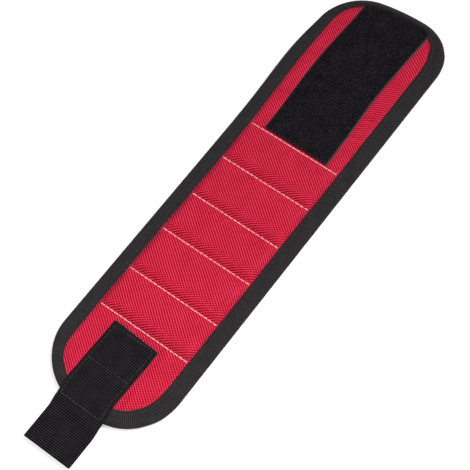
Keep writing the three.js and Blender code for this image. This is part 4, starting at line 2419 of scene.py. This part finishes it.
@dataclass
class Studio:
    """A pale floor, soft light and the camera at the photograph's angle."""

    target: tuple[float, float, float] = (-10.38, -5.07, 0.0)
    azimuth: float = math.radians(-46.6)
    elevation: float = math.radians(64.01)
    roll: float = math.radians(-7.33)
    distance: float = 870.0
    lens: float = 103.38
    clip: tuple[float, float] = (0.05, 50.0)
    floor_size: float = 8.0
    floor_gap: float = 0.0004
    floor_colour: Colour = (0.92, 0.92, 0.92)
    floor_glow: float = 0.4
    far_glow: float = 0.8
    far_from: float = 0.3
    far_fade: float = 0.6
    sky: float = 0.26
    white: Colour = (1.0, 1.0, 1.0)
    top_place: tuple[float, float, float] = (-0.46, -0.05, 0.5)
    top_size: float = 0.5
    top_watts: float = 1.53
    key_azimuth: float = math.radians(62)
    key_elevation: float = math.radians(48)
    key_distance: float = 1.9
    key_size: float = 0.7
    key_watts: float = 3.25
    key_spread: float = math.radians(60)
    key_aim: tuple[float, float, float] = (-0.42, 0.0, 0.0)

    @staticmethod
    def away(azimuth: float, elevation: float) -> Vector:
        """The unit vector towards an azimuth and elevation."""
        flat = math.cos(elevation)
        return Vector((math.sin(azimuth) * flat, -math.cos(azimuth) * flat, math.sin(elevation)))

    @staticmethod
    def aim(thing: Object, place: Vector, heading: Vector, roll: float = 0.0) -> None:
        """Puts a camera or lamp in its place.

        Args:
            thing: The camera or lamp.
            place: Where it hangs, in metres.
            heading: The way it faces.
            roll: How far it is turned about that.
        """
        thing.location = place
        thing.rotation_mode = "QUATERNION"
        thing.rotation_quaternion = heading.to_track_quat("-Z", "Y") @ Quaternion(UP, roll)

    def camera(self) -> None:
        """Makes the camera."""
        data = bpy.data.cameras.new("camera")
        data.lens = self.lens
        data.clip_start, data.clip_end = self.clip
        back = self.away(self.azimuth, self.elevation)
        camera = show("camera", data)
        place = Vector(self.target) * MM + back * self.distance * MM
        self.aim(camera, place, -back, self.roll)
        bpy.context.scene.camera = camera

    def floor(self) -> None:
        """Makes the floor, just under the band, which glows for the camera, more so far away."""
        bm = bmesh.new()
        bmesh.ops.create_grid(bm, x_segments=1, y_segments=1, size=self.floor_size / 2)
        bmesh.ops.translate(bm, vec=-UP * self.floor_gap, verts=bm.verts[:])
        sketch = Sketch("pale_floor")
        reach = sketch.add("VectorMath")
        reach.operation = "LENGTH"
        sketch.feed(reach.inputs[0], sketch.add("TexCoord").outputs["Object"])
        far = (Value(sketch, reach.outputs["Value"]) - self.far_from) / self.far_fade
        glow = far.clamped() * (self.far_glow - self.floor_glow) + self.floor_glow
        sketch.set(
            Base_Color=self.floor_colour,
            Roughness=1.0,
            Specular_IOR_Level=0.0,
            Emission_Color=self.white,
            Emission_Strength=glow * sketch.add("LightPath").outputs["Is Camera Ray"],
        )
        mesh = to_mesh(bm, "floor")
        mesh.materials.append(sketch.material)
        show("floor", mesh)

    def sky_light(self) -> None:
        """Makes an even pale sky that the camera and reflections see as white."""
        world = bpy.data.worlds.new("studio")
        world.use_nodes = True
        nodes = Nodes(world.node_tree)
        nodes.tree.nodes.clear()
        rays = nodes.add("LightPath").outputs
        mirrored = nodes.calc("MAXIMUM", rays["Is Glossy Ray"], rays["Is Transmission Ray"])
        mix = nodes.add("MixShader")
        nodes.feed(mix.inputs[0], nodes.calc("MAXIMUM", rays["Is Camera Ray"], mirrored))
        for socket, strength in zip(mix.inputs[1:], (self.sky, 1.0)):
            background = nodes.add("Background")
            nodes.feed(background.inputs["Color"], self.white)
            nodes.feed(background.inputs["Strength"], strength)
            nodes.feed(socket, background.outputs[0])
        nodes.feed(nodes.add("OutputWorld").inputs[0], mix.outputs[0])
        bpy.context.scene.world = world

    def lamp(
        self, name: str, place: Vector, heading: Vector, size: float, watts: float
    ) -> bpy.types.AreaLight:
        """Makes a round soft lamp.

        Args:
            name: Its name.
            place: Where it hangs, in metres.
            heading: The way it shines.
            size: Its diameter.
            watts: Its power.

        Returns:
            The lamp's settings.
        """
        data = bpy.data.lights.new(name, "AREA")
        data.shape = "DISK"
        data.size = size
        data.energy = watts
        self.aim(show(name, data), place, heading)
        return data

    def lamps(self) -> None:
        """Makes the lamp beside the loop end, which faces the strap end, and the one over it."""
        away = self.away(self.key_azimuth, self.key_elevation)
        place = Vector(self.key_aim) + away * self.key_distance
        key = self.lamp("key", place, -away, self.key_size, self.key_watts)
        key.spread = self.key_spread
        self.lamp("top", Vector(self.top_place), -UP, self.top_size, self.top_watts)

    def build(self) -> None:
        """Sets up the whole studio."""
        bpy.context.scene.view_settings.view_transform = "Standard"
        self.camera()
        self.floor()
        self.sky_light()
        self.lamps()


def main() -> None:
    """Builds the wristband, piece by piece, in its studio."""
    logging.basicConfig(level=logging.INFO, format="%(name)s: %(message)s")
    Studio().build()
    wardrobe = Wardrobe()
    plan = BandPlan()
    for part in (Lining, Cover, Binding, SeamThreads, Strap, HookTape, LoopPatch, Magnets):
        part(plan, wardrobe).build()


if __name__ == "__main__":
    main()
